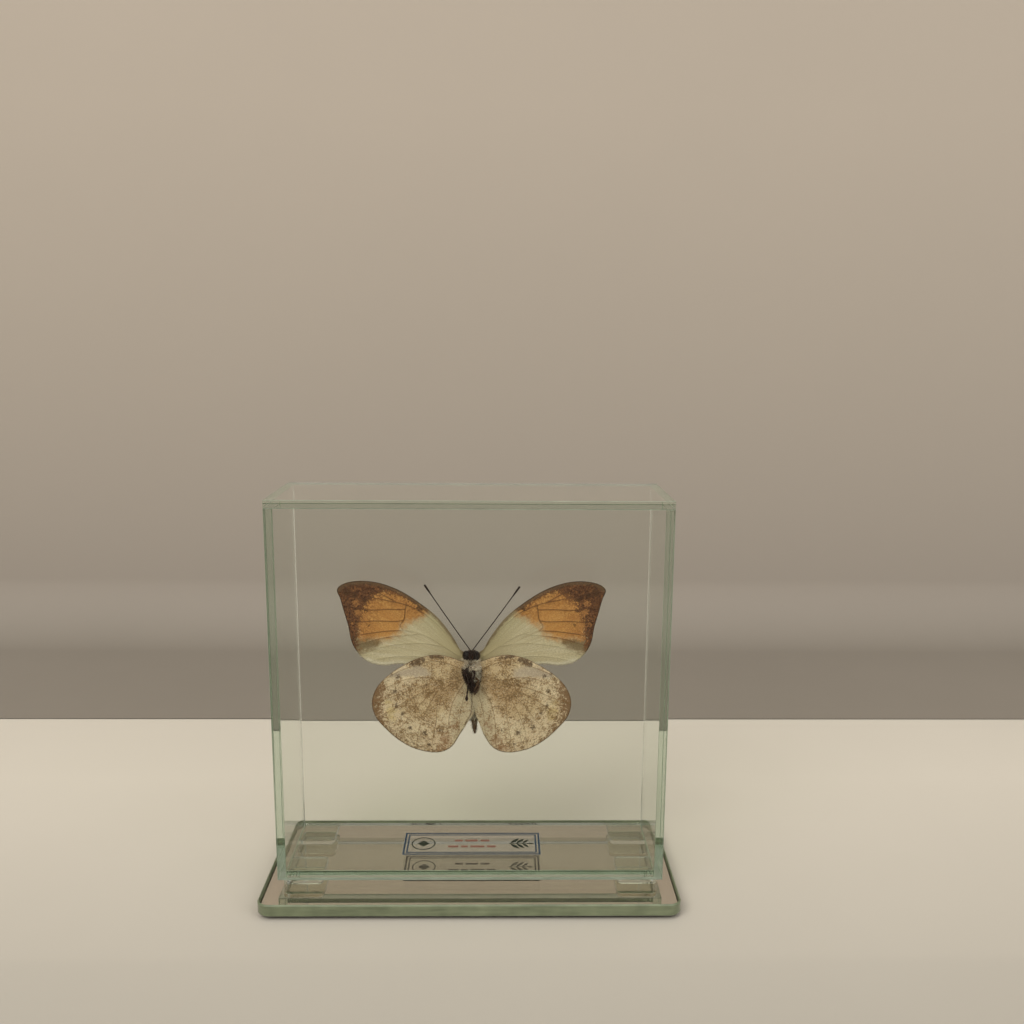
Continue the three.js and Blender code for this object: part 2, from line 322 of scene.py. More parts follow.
def merged(mesh):
    """A solid's mesh as a bmesh, its loose triangles merged at their corners."""
    shape = bmesh.new()
    shape.from_mesh(mesh)
    bmesh.ops.remove_doubles(shape, verts=shape.verts, dist=MERGE_REACH * MM)
    return shape


def baked(name, source):
    """The plain mesh that a source object's modifiers make, as an object of its own."""
    bpy.context.view_layer.update()
    graph = bpy.context.evaluated_depsgraph_get()
    mesh = bpy.data.meshes.new_from_object(source.evaluated_get(graph))
    mesh.name = name
    return placed(name, mesh)


def grown(name, source, tree, values):
    """What a geometry tree makes on a source object, as a plain mesh."""
    modifier = source.modifiers.new(tree.name, "NODES")
    modifier.node_group = tree
    for item in tree.interface.items_tree:
        if item.name in values:
            modifier[item.identifier] = values[item.name]
    made = baked(name, source)
    source.modifiers.remove(modifier)
    return made


def joined(pieces):
    """The first of the pieces, with the meshes of the others in it."""
    first = pieces[0]
    with bpy.context.temp_override(
        active_object=first, object=first, selected_editable_objects=pieces, selected_objects=pieces
    ):
        bpy.ops.object.join()
    return first


def discard(thing):
    """Removes a source object that has done its work."""
    bpy.data.objects.remove(thing, do_unlink=True)


def settle(piece, slot, *nodes):
    """Puts a finished piece on the one body and hides the solids it shows. Its slot is not used."""
    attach(piece, "root")
    if nodes:
        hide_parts(*nodes)
    return piece


def corners(node):
    """A solid's lowest and highest corners in millimetres."""
    low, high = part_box(node)
    return low / MM, high / MM


# ---- shapes from loops -------------------------------------------------------------------


def smooth_line(points, steps=6, closed=False):
    """Points along the smooth curve through the given ones."""
    known = np.array(points, float)
    count = len(known)
    spans = range(count if closed else count - 1)
    line = []
    for i in spans:
        picks = [i - 1, i, i + 1, i + 2]
        picks = [p % count for p in picks] if closed else [min(max(p, 0), count - 1) for p in picks]
        a, b, c, d = known[picks]
        for t in np.arange(steps) / steps:
            line.append(
                0.5 * (2 * b + (c - a) * t + (2 * a - 5 * b + 4 * c - d) * t * t
                       + (3 * b - 3 * c + d - a) * t ** 3)
            )
    if not closed:
        line.append(known[-1])
    return np.array(line)


def rounded_loop(low, high, corner, inset, steps=10):
    """The outline of a rectangle with round corners, inset by some distance."""
    radius = max(corner - inset, 0.02)
    loop = []
    ends = [(high.x, low.y), (high.x, high.y), (low.x, high.y), (low.x, low.y)]
    for quarter, (x, y) in enumerate(ends):
        centre_x = x - math.copysign(inset + radius, x - (low.x + high.x) / 2)
        centre_y = y - math.copysign(inset + radius, y - (low.y + high.y) / 2)
        for step in range(steps + 1):
            angle = (quarter - 1 + step / steps) * math.pi / 2
            loop.append((centre_x + radius * math.cos(angle), centre_y + radius * math.sin(angle)))
    return loop


def skin(loops):
    """The points and faces of a closed skin over loops of equal length."""
    count = len(loops[0])
    points = [p for loop in loops for p in loop]
    faces = []
    for ring in range(len(loops) - 1):
        a = ring * count
        for i in range(count):
            j = (i + 1) % count
            faces.append((a + i, a + j, a + count + j, a + count + i))
    faces.append(tuple(reversed(range(count))))
    faces.append(tuple(range(len(points) - count, len(points))))
    return points, faces


def rounded_plate(name, low, high, corner, profile, materials, smooth=False, steps=10):
    """A plate with round corners. The profile is its edge from the underside up, as pairs of
    inset and height above the underside."""
    loops = []
    for inset, height in profile:
        loops.append([(x, y, low.z + height) for x, y in rounded_loop(low, high, corner, inset, steps)])
    return mesh_piece(name, *skin(loops), materials, smooth)


def limb(name, path, radii, materials, sides=10):
    """A round limb along a path, with its own radius at each point and closed tips."""
    path = [Vector(p) for p in path]
    ahead = (path[1] - path[0]).normalized()
    across = ahead.orthogonal().normalized()
    loops = []
    for i, place in enumerate(path):
        run = (path[min(i + 1, len(path) - 1)] - path[max(i - 1, 0)]).normalized()
        across = (across - run * across.dot(run)).normalized()
        other = run.cross(across)
        loop = []
        for side in range(sides):
            turn = 2 * math.pi * side / sides
            loop.append(tuple(place + (across * math.cos(turn) + other * math.sin(turn)) * radii[i]))
        loops.append(loop)
    return mesh_piece(name, *skin(loops), materials)


def turned(name, profile, centre, materials, sides=40):
    """A shape turned about a line along Y through a centre: pairs of radius and y."""
    loops = []
    for radius, y in profile:
        loop = []
        for side in range(sides):
            turn = -2 * math.pi * side / sides
            loop.append((centre[0] + radius * math.sin(turn), y, centre[1] + radius * math.cos(turn)))
        loops.append(loop)
    return mesh_piece(name, *skin(loops), materials)


# ---- geometry trees ----------------------------------------------------------------------


def tree_with(name, sockets):
    """An empty geometry tree with named inputs, its input node and its last node."""
    tree = bpy.data.node_groups.new(name, "GeometryNodeTree")
    tree.interface.new_socket("Geometry", in_out="INPUT", socket_type="NodeSocketGeometry")
    for socket, kind in sockets.items():
        tree.interface.new_socket(socket, in_out="INPUT", socket_type="NodeSocket" + kind)
    tree.interface.new_socket("Geometry", in_out="OUTPUT", socket_type="NodeSocketGeometry")
    return tree, add(tree, "NodeGroupInput")


def finish_tree(tree, given, geometry_out):
    """The last nodes of a tree: real geometry, smooth and in the given material."""
    whole = add(tree, "GeometryNodeRealizeInstances", {0: geometry_out})
    soft = add(tree, "GeometryNodeSetShadeSmooth", {0: whole})
    painted = add(tree, "GeometryNodeSetMaterial", {0: soft, "Material": given.outputs["Material"]})
    add(tree, "NodeGroupOutput", {0: painted})
    return tree


def rib_tree():
    """Round ribs along lines of edges, thinner from root to tip."""
    kinds = {"Root Radius": "Float", "Tip Radius": "Float", "Sides": "Int", "Material": "Material"}
    tree, given = tree_with("ribs_along_lines", kinds)
    along = add(tree, "GeometryNodeSplineParameter")
    width = add(tree, "ShaderNodeMapRange", {
        0: along, 3: given.outputs["Root Radius"], 4: given.outputs["Tip Radius"]})
    line = add(tree, "GeometryNodeMeshToCurve", {0: given})
    ring = add(tree, "GeometryNodeCurvePrimitiveCircle", {
        0: given.outputs["Sides"], "Radius": 1.0}, mode="RADIUS")
    rib = add(tree, "GeometryNodeCurveToMesh", {0: line, 1: ring, "Scale": width, "Fill Caps": True})
    return finish_tree(tree, given, rib)


def hair_tree():
    """Curved tapering hairs on a surface, as many as its attribute "hair" asks for, that lean
    from the normal towards a lay direction."""
    kinds = {"Density": "Float", "Length": "Float", "Width": "Float", "Lay": "Vector",
             "Ruffle": "Float", "Seed": "Int", "Material": "Material"}
    tree, given = tree_with("hair_coat", kinds)
    amount = add(tree, "GeometryNodeInputNamedAttribute", {0: "hair"}, data_type="FLOAT")
    density = add(tree, "ShaderNodeMath", {
        0: given.outputs["Density"], 1: amount}, operation="MULTIPLY")
    roots = add(tree, "GeometryNodeDistributePointsOnFaces", {
        0: given, "Density": density, "Seed": given.outputs["Seed"]})
    spike = add(tree, "GeometryNodeMeshCone", {
        "Vertices": 3, "Side Segments": 3, "Radius Top": 0.02 * MM,
        "Radius Bottom": given.outputs["Width"], "Depth": given.outputs["Length"]},
        fill_type="TRIANGLE_FAN")
    here = add(tree, "GeometryNodeInputPosition")
    height = add(tree, "ShaderNodeSeparateXYZ", {0: here})
    share = add(tree, "ShaderNodeMath", {
        0: height.outputs[2], 1: given.outputs["Length"]}, operation="DIVIDE")
    bow = add(tree, "ShaderNodeMath", {0: share, 1: 2.0}, operation="POWER")
    drop = add(tree, "ShaderNodeMath", {0: bow, 1: given.outputs["Length"]}, operation="MULTIPLY")
    side = add(tree, "ShaderNodeMath", {0: drop, 1: 0.32}, operation="MULTIPLY")
    shift = add(tree, "ShaderNodeCombineXYZ", {0: side})
    hair = add(tree, "GeometryNodeSetPosition", {0: spike, "Offset": shift})
    stray = add(tree, "FunctionNodeRandomValue", {
        0: (-1, -1, -1), 1: (1, 1, 1), "Seed": given.outputs["Seed"]}, data_type="FLOAT_VECTOR")
    ruffled = add(tree, "ShaderNodeVectorMath", {0: stray, "Scale": given.outputs["Ruffle"]},
                  operation="SCALE")
    laid = add(tree, "ShaderNodeVectorMath", {0: roots.outputs["Normal"], 1: given.outputs["Lay"]},
               operation="ADD")
    aim = add(tree, "ShaderNodeVectorMath", {0: laid, 1: ruffled}, operation="ADD")
    twist = add(tree, "FunctionNodeAlignRotationToVector", {"Vector": aim}, axis="Z")
    size = add(tree, "FunctionNodeRandomValue", {
        2: 0.55, 3: 1.2, "Seed": given.outputs["Seed"]}, data_type="FLOAT")
    coat = add(tree, "GeometryNodeInstanceOnPoints", {
        0: roots, "Instance": hair, "Rotation": twist, "Scale": size.outputs[1]})
    return finish_tree(tree, given, coat)


def hair_coat(name, source, hairs, look, coat, seed):
    """Hair grown on a source. The coat is its hairs a square millimetre, length, width, lay and
    ruffle."""
    density, length, width, lay, ruffle = coat
    return grown(name, source, hairs, {
        "Density": density * 1e6, "Length": length * MM, "Width": width * MM, "Lay": lay,
        "Ruffle": ruffle, "Seed": seed, "Material": look})


# ---- materials ---------------------------------------------------------------------------


def object_noise(tree, size, detail=3.0, roughness=0.55):
    """Noise in the piece's own space, with features of about a size in millimetres."""
    where = add(tree, "ShaderNodeTexCoord")
    return add(tree, "ShaderNodeTexNoise", {
        "Vector": where.outputs["Object"], "Scale": 1 / (size * MM), "Detail": detail,
        "Roughness": roughness})


def over(tree, below, shares, colour, most=1.0):
    """A colour laid over another by a share, or by the product of a list of shares, of which at
    most some is used."""
    part, *others = shares if isinstance(shares, list) else [shares]
    for factor in (*others, most):
        part = add(tree, "ShaderNodeMath", {0: part, 1: factor}, operation="MULTIPLY")
    under, top = [tone(c) if isinstance(c, int) else c for c in (below, colour)]
    return add(tree, "ShaderNodeMix", {0: part, 6: under, 7: top}, data_type="RGBA").outputs[2]


def through_for_lamps(tree, glass, tint):
    """Glass whose lamp and diffuse rays pass straight, so that light reaches what is inside."""
    straight = add(tree, "ShaderNodeBsdfTransparent", {"Color": tone(tint)})
    path = add(tree, "ShaderNodeLightPath")
    soft = add(tree, "ShaderNodeMixShader", {0: path.outputs["Is Diffuse Ray"], 1: glass, 2: straight})
    return add(tree, "ShaderNodeMixShader", {0: path.outputs["Is Shadow Ray"], 1: soft, 2: straight})


def float_glass(tree, density, tint):
    """Soda-lime float glass, cut and polished: clear face on, green where light runs along it,
    with the faint roller wave that bends a highlight. A coat against glare leaves its
    mirroring weak where it is met straight on."""
    wave = object_noise(tree, 26.0, 1.0)
    bump = add(tree, "ShaderNodeBump", {"Height": wave, "Distance": 0.003 * MM, "Strength": 0.25})
    glass = add(tree, "ShaderNodeBsdfPrincipled", {
        "Base Color": tone(tint), "Roughness": 0.0, "IOR": 1.52, "Transmission Weight": 1.0,
        "Specular Tint": tone(0x808080), "Normal": bump})
    green = add(tree, "ShaderNodeVolumeAbsorption", {"Color": tone(0xCFE8D6), "Density": density})
    return through_for_lamps(tree, glass, tint), green


def ground_edge(tree, dark, light, cover=1.0):
    """Glass edges ground on a belt and left satin: a milky green, streaked along the cut, that
    covers what is behind it wholly or in part."""
    where = add(tree, "ShaderNodeTexCoord")
    stretched = add(tree, "ShaderNodeMapping", {
        "Vector": where.outputs["Object"], "Scale": (0.12, 0.12, 1)})
    streaks = add(tree, "ShaderNodeTexNoise", {
        "Vector": stretched, "Scale": 1 / (0.9 * MM), "Detail": 3})
    cloud = object_noise(tree, 7.0, 2.0)
    mixed = add(tree, "ShaderNodeMix", {0: 0.45, 2: cloud, 3: streaks})
    clear = add(tree, "ShaderNodeMapRange", {0: mixed, 1: 0.35, 2: 0.65})
    bump = add(tree, "ShaderNodeBump", {"Height": streaks, "Distance": 0.02 * MM, "Strength": 0.4})
    colour = over(tree, dark, clear, light)
    return add(tree, "ShaderNodeBsdfPrincipled", {
        "Base Color": colour, "Roughness": 0.3, "Coat Weight": 0.5, "Coat Roughness": 0.12,
        "Alpha": cover, "Normal": bump}), None


def silvering(tree):
    """Silver laid on the back of the glass: an even mirror, a little warm and dimmed by the
    copper and paint behind it."""
    colour = over(tree, 0xEDE6DD, object_noise(tree, 9.0), 0xE6DFD6)
    return add(tree, "ShaderNodeBsdfPrincipled", {
        "Base Color": colour, "Metallic": 1.0, "Roughness": 0.01}), None


def backing_paint(tree):
    """Grey-green mirror backing lacquer, rolled on: dull, with a fine orange peel."""
    peel = object_noise(tree, 0.6)
    colour = over(tree, 0x3A4038, peel, 0x4A5046)
    bump = add(tree, "ShaderNodeBump", {"Height": peel, "Distance": 0.02 * MM})
    return add(tree, "ShaderNodeBsdfPrincipled", {
        "Base Color": colour, "Roughness": 0.55, "Normal": bump}), None


def clear_polyurethane(tree):
    """Die-cut clear polyurethane bumper pad: see-through and a little soft, so that its rounded
    edges catch light and dark lines, with tiny trapped flecks."""
    fleck = object_noise(tree, 0.5)
    rough = add(tree, "ShaderNodeMapRange", {0: fleck, 1: 0.4, 2: 0.7, 3: 0.01, 4: 0.05})
    block = add(tree, "ShaderNodeBsdfPrincipled", {
        "Base Color": tone(0xEEF1E8), "Roughness": rough, "IOR": 1.49, "Transmission Weight": 1.0,
        "Specular Tint": tone(0x909090)})
    return through_for_lamps(tree, block, 0xECEFE6), None


def black_rubber(tree):
    """Moulded synthetic rubber: near black, matt, with a fine grain and a dusty bloom."""
    grain = object_noise(tree, 0.35)
    colour = over(tree, 0x141414, object_noise(tree, 3.0), 0x2B2A27)
    bump = add(tree, "ShaderNodeBump", {"Height": grain, "Distance": 0.03 * MM})
    return add(tree, "ShaderNodeBsdfPrincipled", {
        "Base Color": colour, "Roughness": 0.8, "Normal": bump}), None


def printed_film(tree):
    """Clear polyester film, printed on a laser printer: a faint lilac haze over what lies
    under it, and a satin gloss."""
    haze = object_noise(tree, 2.2)
    alpha = add(tree, "ShaderNodeMapRange", {0: haze, 3: 0.03, 4: 0.09})
    return add(tree, "ShaderNodeBsdfPrincipled", {
        "Base Color": tone(0xCBC4C4), "Roughness": 0.28, "Alpha": alpha}), None


def toner(tree, colour):
    """Fused toner on film: matt, a little thin, so that its tone breaks up finely."""
    speck = object_noise(tree, 0.18)
    alpha = add(tree, "ShaderNodeMapRange", {0: speck, 3: 0.62, 4: 1.0})
    return add(tree, "ShaderNodeBsdfPrincipled", {
        "Base Color": tone(colour), "Roughness": 0.6, "Alpha": alpha}), None


def cast_acrylic(tree):
    """Polished cast acrylic rod: clear and colourless."""
    wave = object_noise(tree, 3.0, 1.0)
    bump = add(tree, "ShaderNodeBump", {"Height": wave, "Distance": 0.01 * MM, "Strength": 0.3})
    rod = add(tree, "ShaderNodeBsdfPrincipled", {
        "Base Color": tone(0xFBFCFB), "Roughness": 0.0, "IOR": 1.49, "Transmission Weight": 1.0,
        "Normal": bump})
    return through_for_lamps(tree, rod, 0xF4F6F4), None


def cured_glue(tree):
    """Cured clear adhesive: a lens-like drop with a slightly uneven, wet-looking skin."""
    skin_wave = object_noise(tree, 1.1)
    bump = add(tree, "ShaderNodeBump", {"Height": skin_wave, "Distance": 0.05 * MM, "Strength": 0.5})
    drop = add(tree, "ShaderNodeBsdfPrincipled", {
        "Base Color": tone(0xF6F5EE), "Roughness": 0.02, "IOR": 1.5, "Transmission Weight": 1.0,
        "Normal": bump})
    return through_for_lamps(tree, drop, 0xF1F1EA), None


def chitin(tree, dark, light, size, roughness, gloss):
    """Hard insect skin: dark and horny, mottled, with a soft waxy shine and fine pits."""
    colour = over(tree, dark, object_noise(tree, size), light)
    pits = object_noise(tree, 0.16)
    bump = add(tree, "ShaderNodeBump", {"Height": pits, "Distance": 0.05 * MM, "Strength": 0.7})
    return add(tree, "ShaderNodeBsdfPrincipled", {
        "Base Color": colour, "Roughness": roughness, "Specular IOR Level": 0.2,
        "Coat Weight": gloss, "Coat Roughness": 0.2, "Normal": bump}), None


def compound_eye(tree):
    """A dried compound eye: black-brown and glossy, its surface of fine facets, 0.08 mm apart
    so that they show."""
    where = add(tree, "ShaderNodeTexCoord")
    facet = add(tree, "ShaderNodeTexVoronoi", {
        "Vector": where.outputs["Object"], "Scale": 1 / (0.08 * MM), "Randomness": 0.35})
    colour = over(tree, 0x0C0605, object_noise(tree, 0.9), 0x1E110B)
    bump = add(tree, "ShaderNodeBump", {
        "Height": facet, "Distance": 0.02 * MM, "Strength": 0.6}, invert=True)
    return add(tree, "ShaderNodeBsdfPrincipled", {
        "Base Color": colour, "Roughness": 0.45, "Specular IOR Level": 0.25,
        "Coat Weight": 0.08, "Coat Roughness": 0.12, "Normal": bump}), None


def insect_hair(tree, dark, light):
    """Fine insect hair in tufts: each tuft a little lighter or darker, with a silky sheen."""
    tuft = object_noise(tree, 0.55)
    clear = add(tree, "ShaderNodeMapRange", {0: tuft, 1: 0.32, 2: 0.68})
    return add(tree, "ShaderNodeBsdfPrincipled", {
        "Base Color": over(tree, dark, clear, light), "Roughness": 0.6, "Specular IOR Level": 0.2,
        "Sheen Weight": 0.05}), None


# Scaled wing skin. The wings' meshes hold distances in millimetres: from the margin, the
# nearest vein and the edge of each patch or mark (above nought inside it). They also hold the
# grain, which is the distance from the root and across it.


def ragged(tree, name, wander, reach, soft):
    """How much a patch covers, nought to one, with an edge that wanders by reach and fades over
    soft, both in millimetres."""
    centred = add(tree, "ShaderNodeMath", {0: wander, 1: 0.5}, operation="SUBTRACT")
    moved = add(tree, "ShaderNodeMath", {0: centred, 1: 2 * reach, 2: name},
                operation="MULTIPLY_ADD")
    return add(tree, "ShaderNodeMapRange", {0: moved, 1: -soft, 2: soft},
               interpolation_type="SMOOTHSTEP")


def line_on(tree, name, half_width, soft):
    """One on a line that a field measures from, nought away from it."""
    return add(tree, "ShaderNodeMapRange", {
        0: name, 1: half_width, 2: half_width + soft, 3: 1.0, 4: 0.0},
        interpolation_type="SMOOTHSTEP")


def grain_noise(tree, along, across, detail=2.0):
    """Noise that follows the wing's grain, with features of a size along and across it."""
    run = add(tree, "ShaderNodeAttribute", attribute_name="grain")
    stretched = add(tree, "ShaderNodeVectorMath", {
        0: run.outputs["Vector"], 1: (1 / along, 1 / across, 1.0)}, operation="MULTIPLY")
    return add(tree, "ShaderNodeTexNoise", {"Vector": stretched, "Scale": 1.0, "Detail": detail})


def scaled_skin(tree, colour, dark, light):
    """The surface shared by all wing sides: overlapping scales 0.15 mm wide, drawn a little
    coarse so that they show, each darker or lighter by up to the given factors, give a velvet
    sheen and no shine."""
    rows = grain_noise(tree, 0.6, 0.22, 3.0)
    shade = add(tree, "ShaderNodeMapRange", {0: rows, 1: 0.3, 2: 0.7, 3: dark, 4: light})
    tinted = add(tree, "ShaderNodeVectorMath", {0: colour, "Scale": shade}, operation="SCALE")
    vein_height = line_on(tree, "vein_mm", 0.05, 0.25)
    height = add(tree, "ShaderNodeMath", {0: rows, 1: 0.35, 2: vein_height}, operation="MULTIPLY_ADD")
    bump = add(tree, "ShaderNodeBump", {"Height": height, "Distance": 0.05 * MM, "Strength": 0.6})
    return add(tree, "ShaderNodeBsdfPrincipled", {
        "Base Color": tinted, "Roughness": 0.72, "Specular IOR Level": 0.3, "Sheen Weight": 0.12,
        "Sheen Roughness": 0.4, "Normal": bump}), None


def forewing_under(tree):
    """Underside of the forewing: pale green-cream at the root with lighter streaks, an orange
    patch crossed by dark veins, and a mottled umber tip and front edge."""
    blotch = object_noise(tree, 1.5)
    mottle = object_noise(tree, 0.7, 4.0, 0.65)
    dust = object_noise(tree, 0.34, 2.0)
    streak = grain_noise(tree, 12.0, 0.9)
    root = add(tree, "ShaderNodeMapRange", {0: "root_mm", 1: 2.0, 2: 15.0, 3: 1.0, 4: 0.0})
    front = add(tree, "ShaderNodeMapRange", {0: "costa_mm", 1: 0.3, 2: 7.0, 3: 1.0, 4: 0.0})

    colour = over(tree, 0xAE9D79, streak, 0xCBBD9D)
    rays = add(tree, "ShaderNodeMapRange", {0: grain_noise(tree, 16.0, 0.5), 1: 0.52, 2: 0.72})
    colour = over(tree, colour, rays, 0xD4C8B0, 0.45)
    colour = over(tree, colour, front, 0xA39870, 0.55)
    colour = over(tree, colour, root, 0xA08E68, 0.6)
    colour = over(tree, colour, ragged(tree, "rear_mm", blotch, 0.3, 0.5), 0xD2C6AC, 0.8)
    pale_vein = line_on(tree, "vein_mm", 0.06, 0.16)
    colour = over(tree, colour, pale_vein, 0x9C8F68, 0.2)

    flame = over(tree, 0xB87A3F, streak, 0xD6A560)
    flame = over(tree, flame, mottle, 0x9A6336, 0.6)
    orange = ragged(tree, "orange_mm", blotch, 2.4, 2.0)
    colour = over(tree, colour, orange, flame)
    colour = over(tree, colour, ragged(tree, "olive_mm", blotch, 1.8, 1.1), 0x735D3E, 0.85)

    bark = add(tree, "ShaderNodeValToRGB", {0: mottle}, stops=[
        (0.32, 0x35231A), (0.70, 0xA06C3C), (0.45, 0x593A27), (0.58, 0x744C30)])
    rust = ragged(tree, "orange_mm", blotch, 1.0, 1.0)
    outer = add(tree, "ShaderNodeMapRange", {0: "dusk_mm", 1: -7.0, 2: 0.5})
    clouds = add(tree, "ShaderNodeMapRange", {0: mottle, 1: 0.42, 2: 0.58})
    colour = over(tree, colour, [rust, outer, clouds], 0x85532F, 0.8)
    dusk = ragged(tree, "dusk_mm", mottle, 4.5, 0.8)
    colour = over(tree, colour, dusk, bark.outputs[0])
    peach = ragged(tree, "peach_mm", mottle, 2.4, 0.6)
    colour = over(tree, colour, peach, 0xB57E48, 0.65)
    colour = over(tree, colour, ragged(tree, "umber_mm", mottle, 1.6, 0.35), 0x4A3422, 0.8)

    coloured = add(tree, "ShaderNodeMath", {0: orange, 1: dusk}, operation="MAXIMUM")
    dots = add(tree, "ShaderNodeMapRange", {0: dust, 1: 0.60, 2: 0.68})
    nearly = add(tree, "ShaderNodeMapRange", {0: "dusk_mm", 1: -6.0, 2: 0.0})
    colour = over(tree, colour, [dots, coloured, nearly], 0x5A3A24, 0.7)
    vein = line_on(tree, "vein_mm", 0.05, 0.26)
    colour = over(tree, colour, [vein, coloured], 0x5A3B26, 0.7)
    edge_band = ragged(tree, "front_band_mm", blotch, 0.5, 0.5)
    colour = over(tree, colour, edge_band, 0x66503A, 0.75)
    rim = line_on(tree, "margin_mm", 0.1, 0.3)
    colour = over(tree, colour, [rim, coloured], 0x3E2C1E, 0.8)
    return scaled_skin(tree, colour, 0.74, 1.12)


def hindwing_under(tree):
    """Underside of the hindwing: buff, like a dead leaf, rippled and flecked with brown, with
    a lilac-white flash, a row of dark spots and a brown outer rim."""
    blotch = object_noise(tree, 1.6)
    coarse = object_noise(tree, 2.6, 2.0)
    mottle = object_noise(tree, 0.75, 4.0, 0.65)
    wash = object_noise(tree, 5.0, 2.0)
    ripple = grain_noise(tree, 0.6, 1.3, 3.0)
    speck = object_noise(tree, 0.42, 2.0)
    chalk = object_noise(tree, 0.5, 3.0)

    gold = ragged(tree, "gold_mm", blotch, 2.6, 2.0)
    brown = ragged(tree, "brown_mm", blotch, 2.4, 1.8)
    white = ragged(tree, "white_mm", blotch, 2.4, 0.9)
    inner = ragged(tree, "inner_mm", blotch, 1.6, 1.6)

    colour = over(tree, 0xE4D2AF, wash, 0xCBAE8C)
    colour = over(tree, colour, gold, 0xB5925F, 0.42)
    colour = over(tree, colour, ragged(tree, "straw_mm", blotch, 2.0, 1.2), 0xC0A466, 0.6)
    colour = over(tree, colour, brown, 0xA07A50, 0.36)
    colour = over(tree, colour, inner, 0xBBAB8C, 0.7)
    colour = over(tree, colour, white, 0xAB9986, 0.75)

    # Three sizes of broken brown, thicker where the wing is darker.
    start = add(tree, "ShaderNodeMath", {0: coarse, 1: -0.46, 2: 0.744}, operation="MULTIPLY_ADD")
    for patch, change in ((white, 0.15), (inner, 0.035), (gold, -0.025), (brown, -0.015)):
        start = add(tree, "ShaderNodeMath", {0: patch, 1: change, 2: start}, operation="MULTIPLY_ADD")
    end = add(tree, "ShaderNodeMath", {0: start, 1: 0.13}, operation="ADD")
    broken = ((mottle, 0xB08B5A, 0.45), (ripple, 0x8F6C43, 0.75), (speck, 0x654C30, 0.65))
    for grainy, hue, most in broken:
        flecks = add(tree, "ShaderNodeMapRange", {0: grainy, 1: start, 2: end})
        colour = over(tree, colour, flecks, hue, most)
    pale = add(tree, "ShaderNodeMapRange", {0: chalk, 1: 0.43, 2: 0.33})
    colour = over(tree, colour, pale, 0xDCCCB2, 0.4)

    bark = over(tree, 0x5A3E29, mottle, 0x8E6A46)
    colour = over(tree, colour, ragged(tree, "rim_mm", mottle, 7.0, 1.6), bark, 0.9)
    colour = over(tree, colour, ragged(tree, "rust_mm", mottle, 5.0, 1.2), 0x8C6240, 0.6)
    colour = over(tree, colour, ragged(tree, "umber_mm", mottle, 1.5, 0.4), 0x4A3424, 0.8)
    colour = over(tree, colour, line_on(tree, "vein_mm", 0.05, 0.16), 0x86663F, 0.5)
    colour = over(tree, colour, line_on(tree, "margin_mm", 0.08, 0.3), 0x5A4330, 0.75)
    return scaled_skin(tree, colour, 0.74, 1.12)


def forewing_upper(tree):
    """Upper side of the forewing: chalk white, with the orange tip edged in black."""
    blotch = object_noise(tree, 1.5)
    streak = grain_noise(tree, 12.0, 1.2)
    colour = over(tree, 0xD9D3BE, streak, 0xE6E1CF)
    tip = add(tree, "ShaderNodeMath", {0: "orange_mm", 1: "dusk_mm"}, operation="MAXIMUM")
    black = add(tree, "ShaderNodeMapRange", {0: tip, 1: -1.1, 2: -0.7}, interpolation_type="SMOOTHSTEP")
    colour = over(tree, colour, black, 0x2C2119, 0.95)
    flame = over(tree, 0xC4691F, streak, 0xD58030)
    glow = add(tree, "ShaderNodeMapRange", {0: tip, 1: 0.1, 2: 0.5}, interpolation_type="SMOOTHSTEP")
    colour = over(tree, colour, glow, flame)
    edge = ragged(tree, "edge_band_mm", blotch, 0.6, 0.3)
    colour = over(tree, colour, [edge, black], 0x2C2119)
    vein = line_on(tree, "vein_mm", 0.1, 0.2)
    colour = over(tree, colour, [vein, black], 0x2C2119, 0.9)
    return scaled_skin(tree, colour, 0.94, 1.06)


def hindwing_upper(tree):
    """Upper side of the hindwing: chalk white, yellowish towards the body, with small grey
    marks at the outer margin."""
    blotch = object_noise(tree, 1.2)
    streak = grain_noise(tree, 12.0, 1.2)
    colour = over(tree, 0xD8D1B8, streak, 0xE5DFCB)
    colour = over(tree, colour, ragged(tree, "inner_mm", blotch, 1.0, 2.0), 0xC9BD93, 0.7)
    colour = over(tree, colour, ragged(tree, "umber_mm", blotch, 0.8, 0.4), 0x6A6152, 0.5)
    colour = over(tree, colour, ragged(tree, "rim_mm", blotch, 1.2, 0.9), 0x8C8272, 0.4)
    return scaled_skin(tree, colour, 0.94, 1.06)


# ---- glass box and base ------------------------------------------------------------------


UPRIGHT_PANES = ("pane_front", "pane_back", "pane_left", "pane_right")


def glass_pane(node, glass, edge, foot):
    """A pane a hair smaller than its solid, with its sharp edges ground to a small arris and,
    on upright panes, its ends ground flat."""
    low, high = corners(node)
    shape = bmesh.new()
    bmesh.ops.create_cube(shape, size=1.0)
    size = (high - low) - Vector((2 * PANE_GAP,) * 3)
    place = Matrix.Translation((low + high) / 2 * MM) @ Matrix.Diagonal((*(size * MM), 1))
    bmesh.ops.transform(shape, matrix=place, verts=shape.verts)
    bmesh.ops.bevel(shape, geom=shape.edges[:], offset=PANE_ARRIS * MM, segments=1, affect="EDGES")
    shape.normal_update()
    for face in shape.faces:
        flat = max(abs(c) for c in face.normal) > 0.95
        end = round(face.normal.z) if flat and node in UPRIGHT_PANES else 0
        # The lower ends take the third finish, whose lighter colour is painted light.
        face.material_index = 2 if end < 0 else 1 if end > 0 or not flat else 0
    settle(shape_piece("glass_" + node, shape, (glass, edge, foot)), "pane_glass", node)


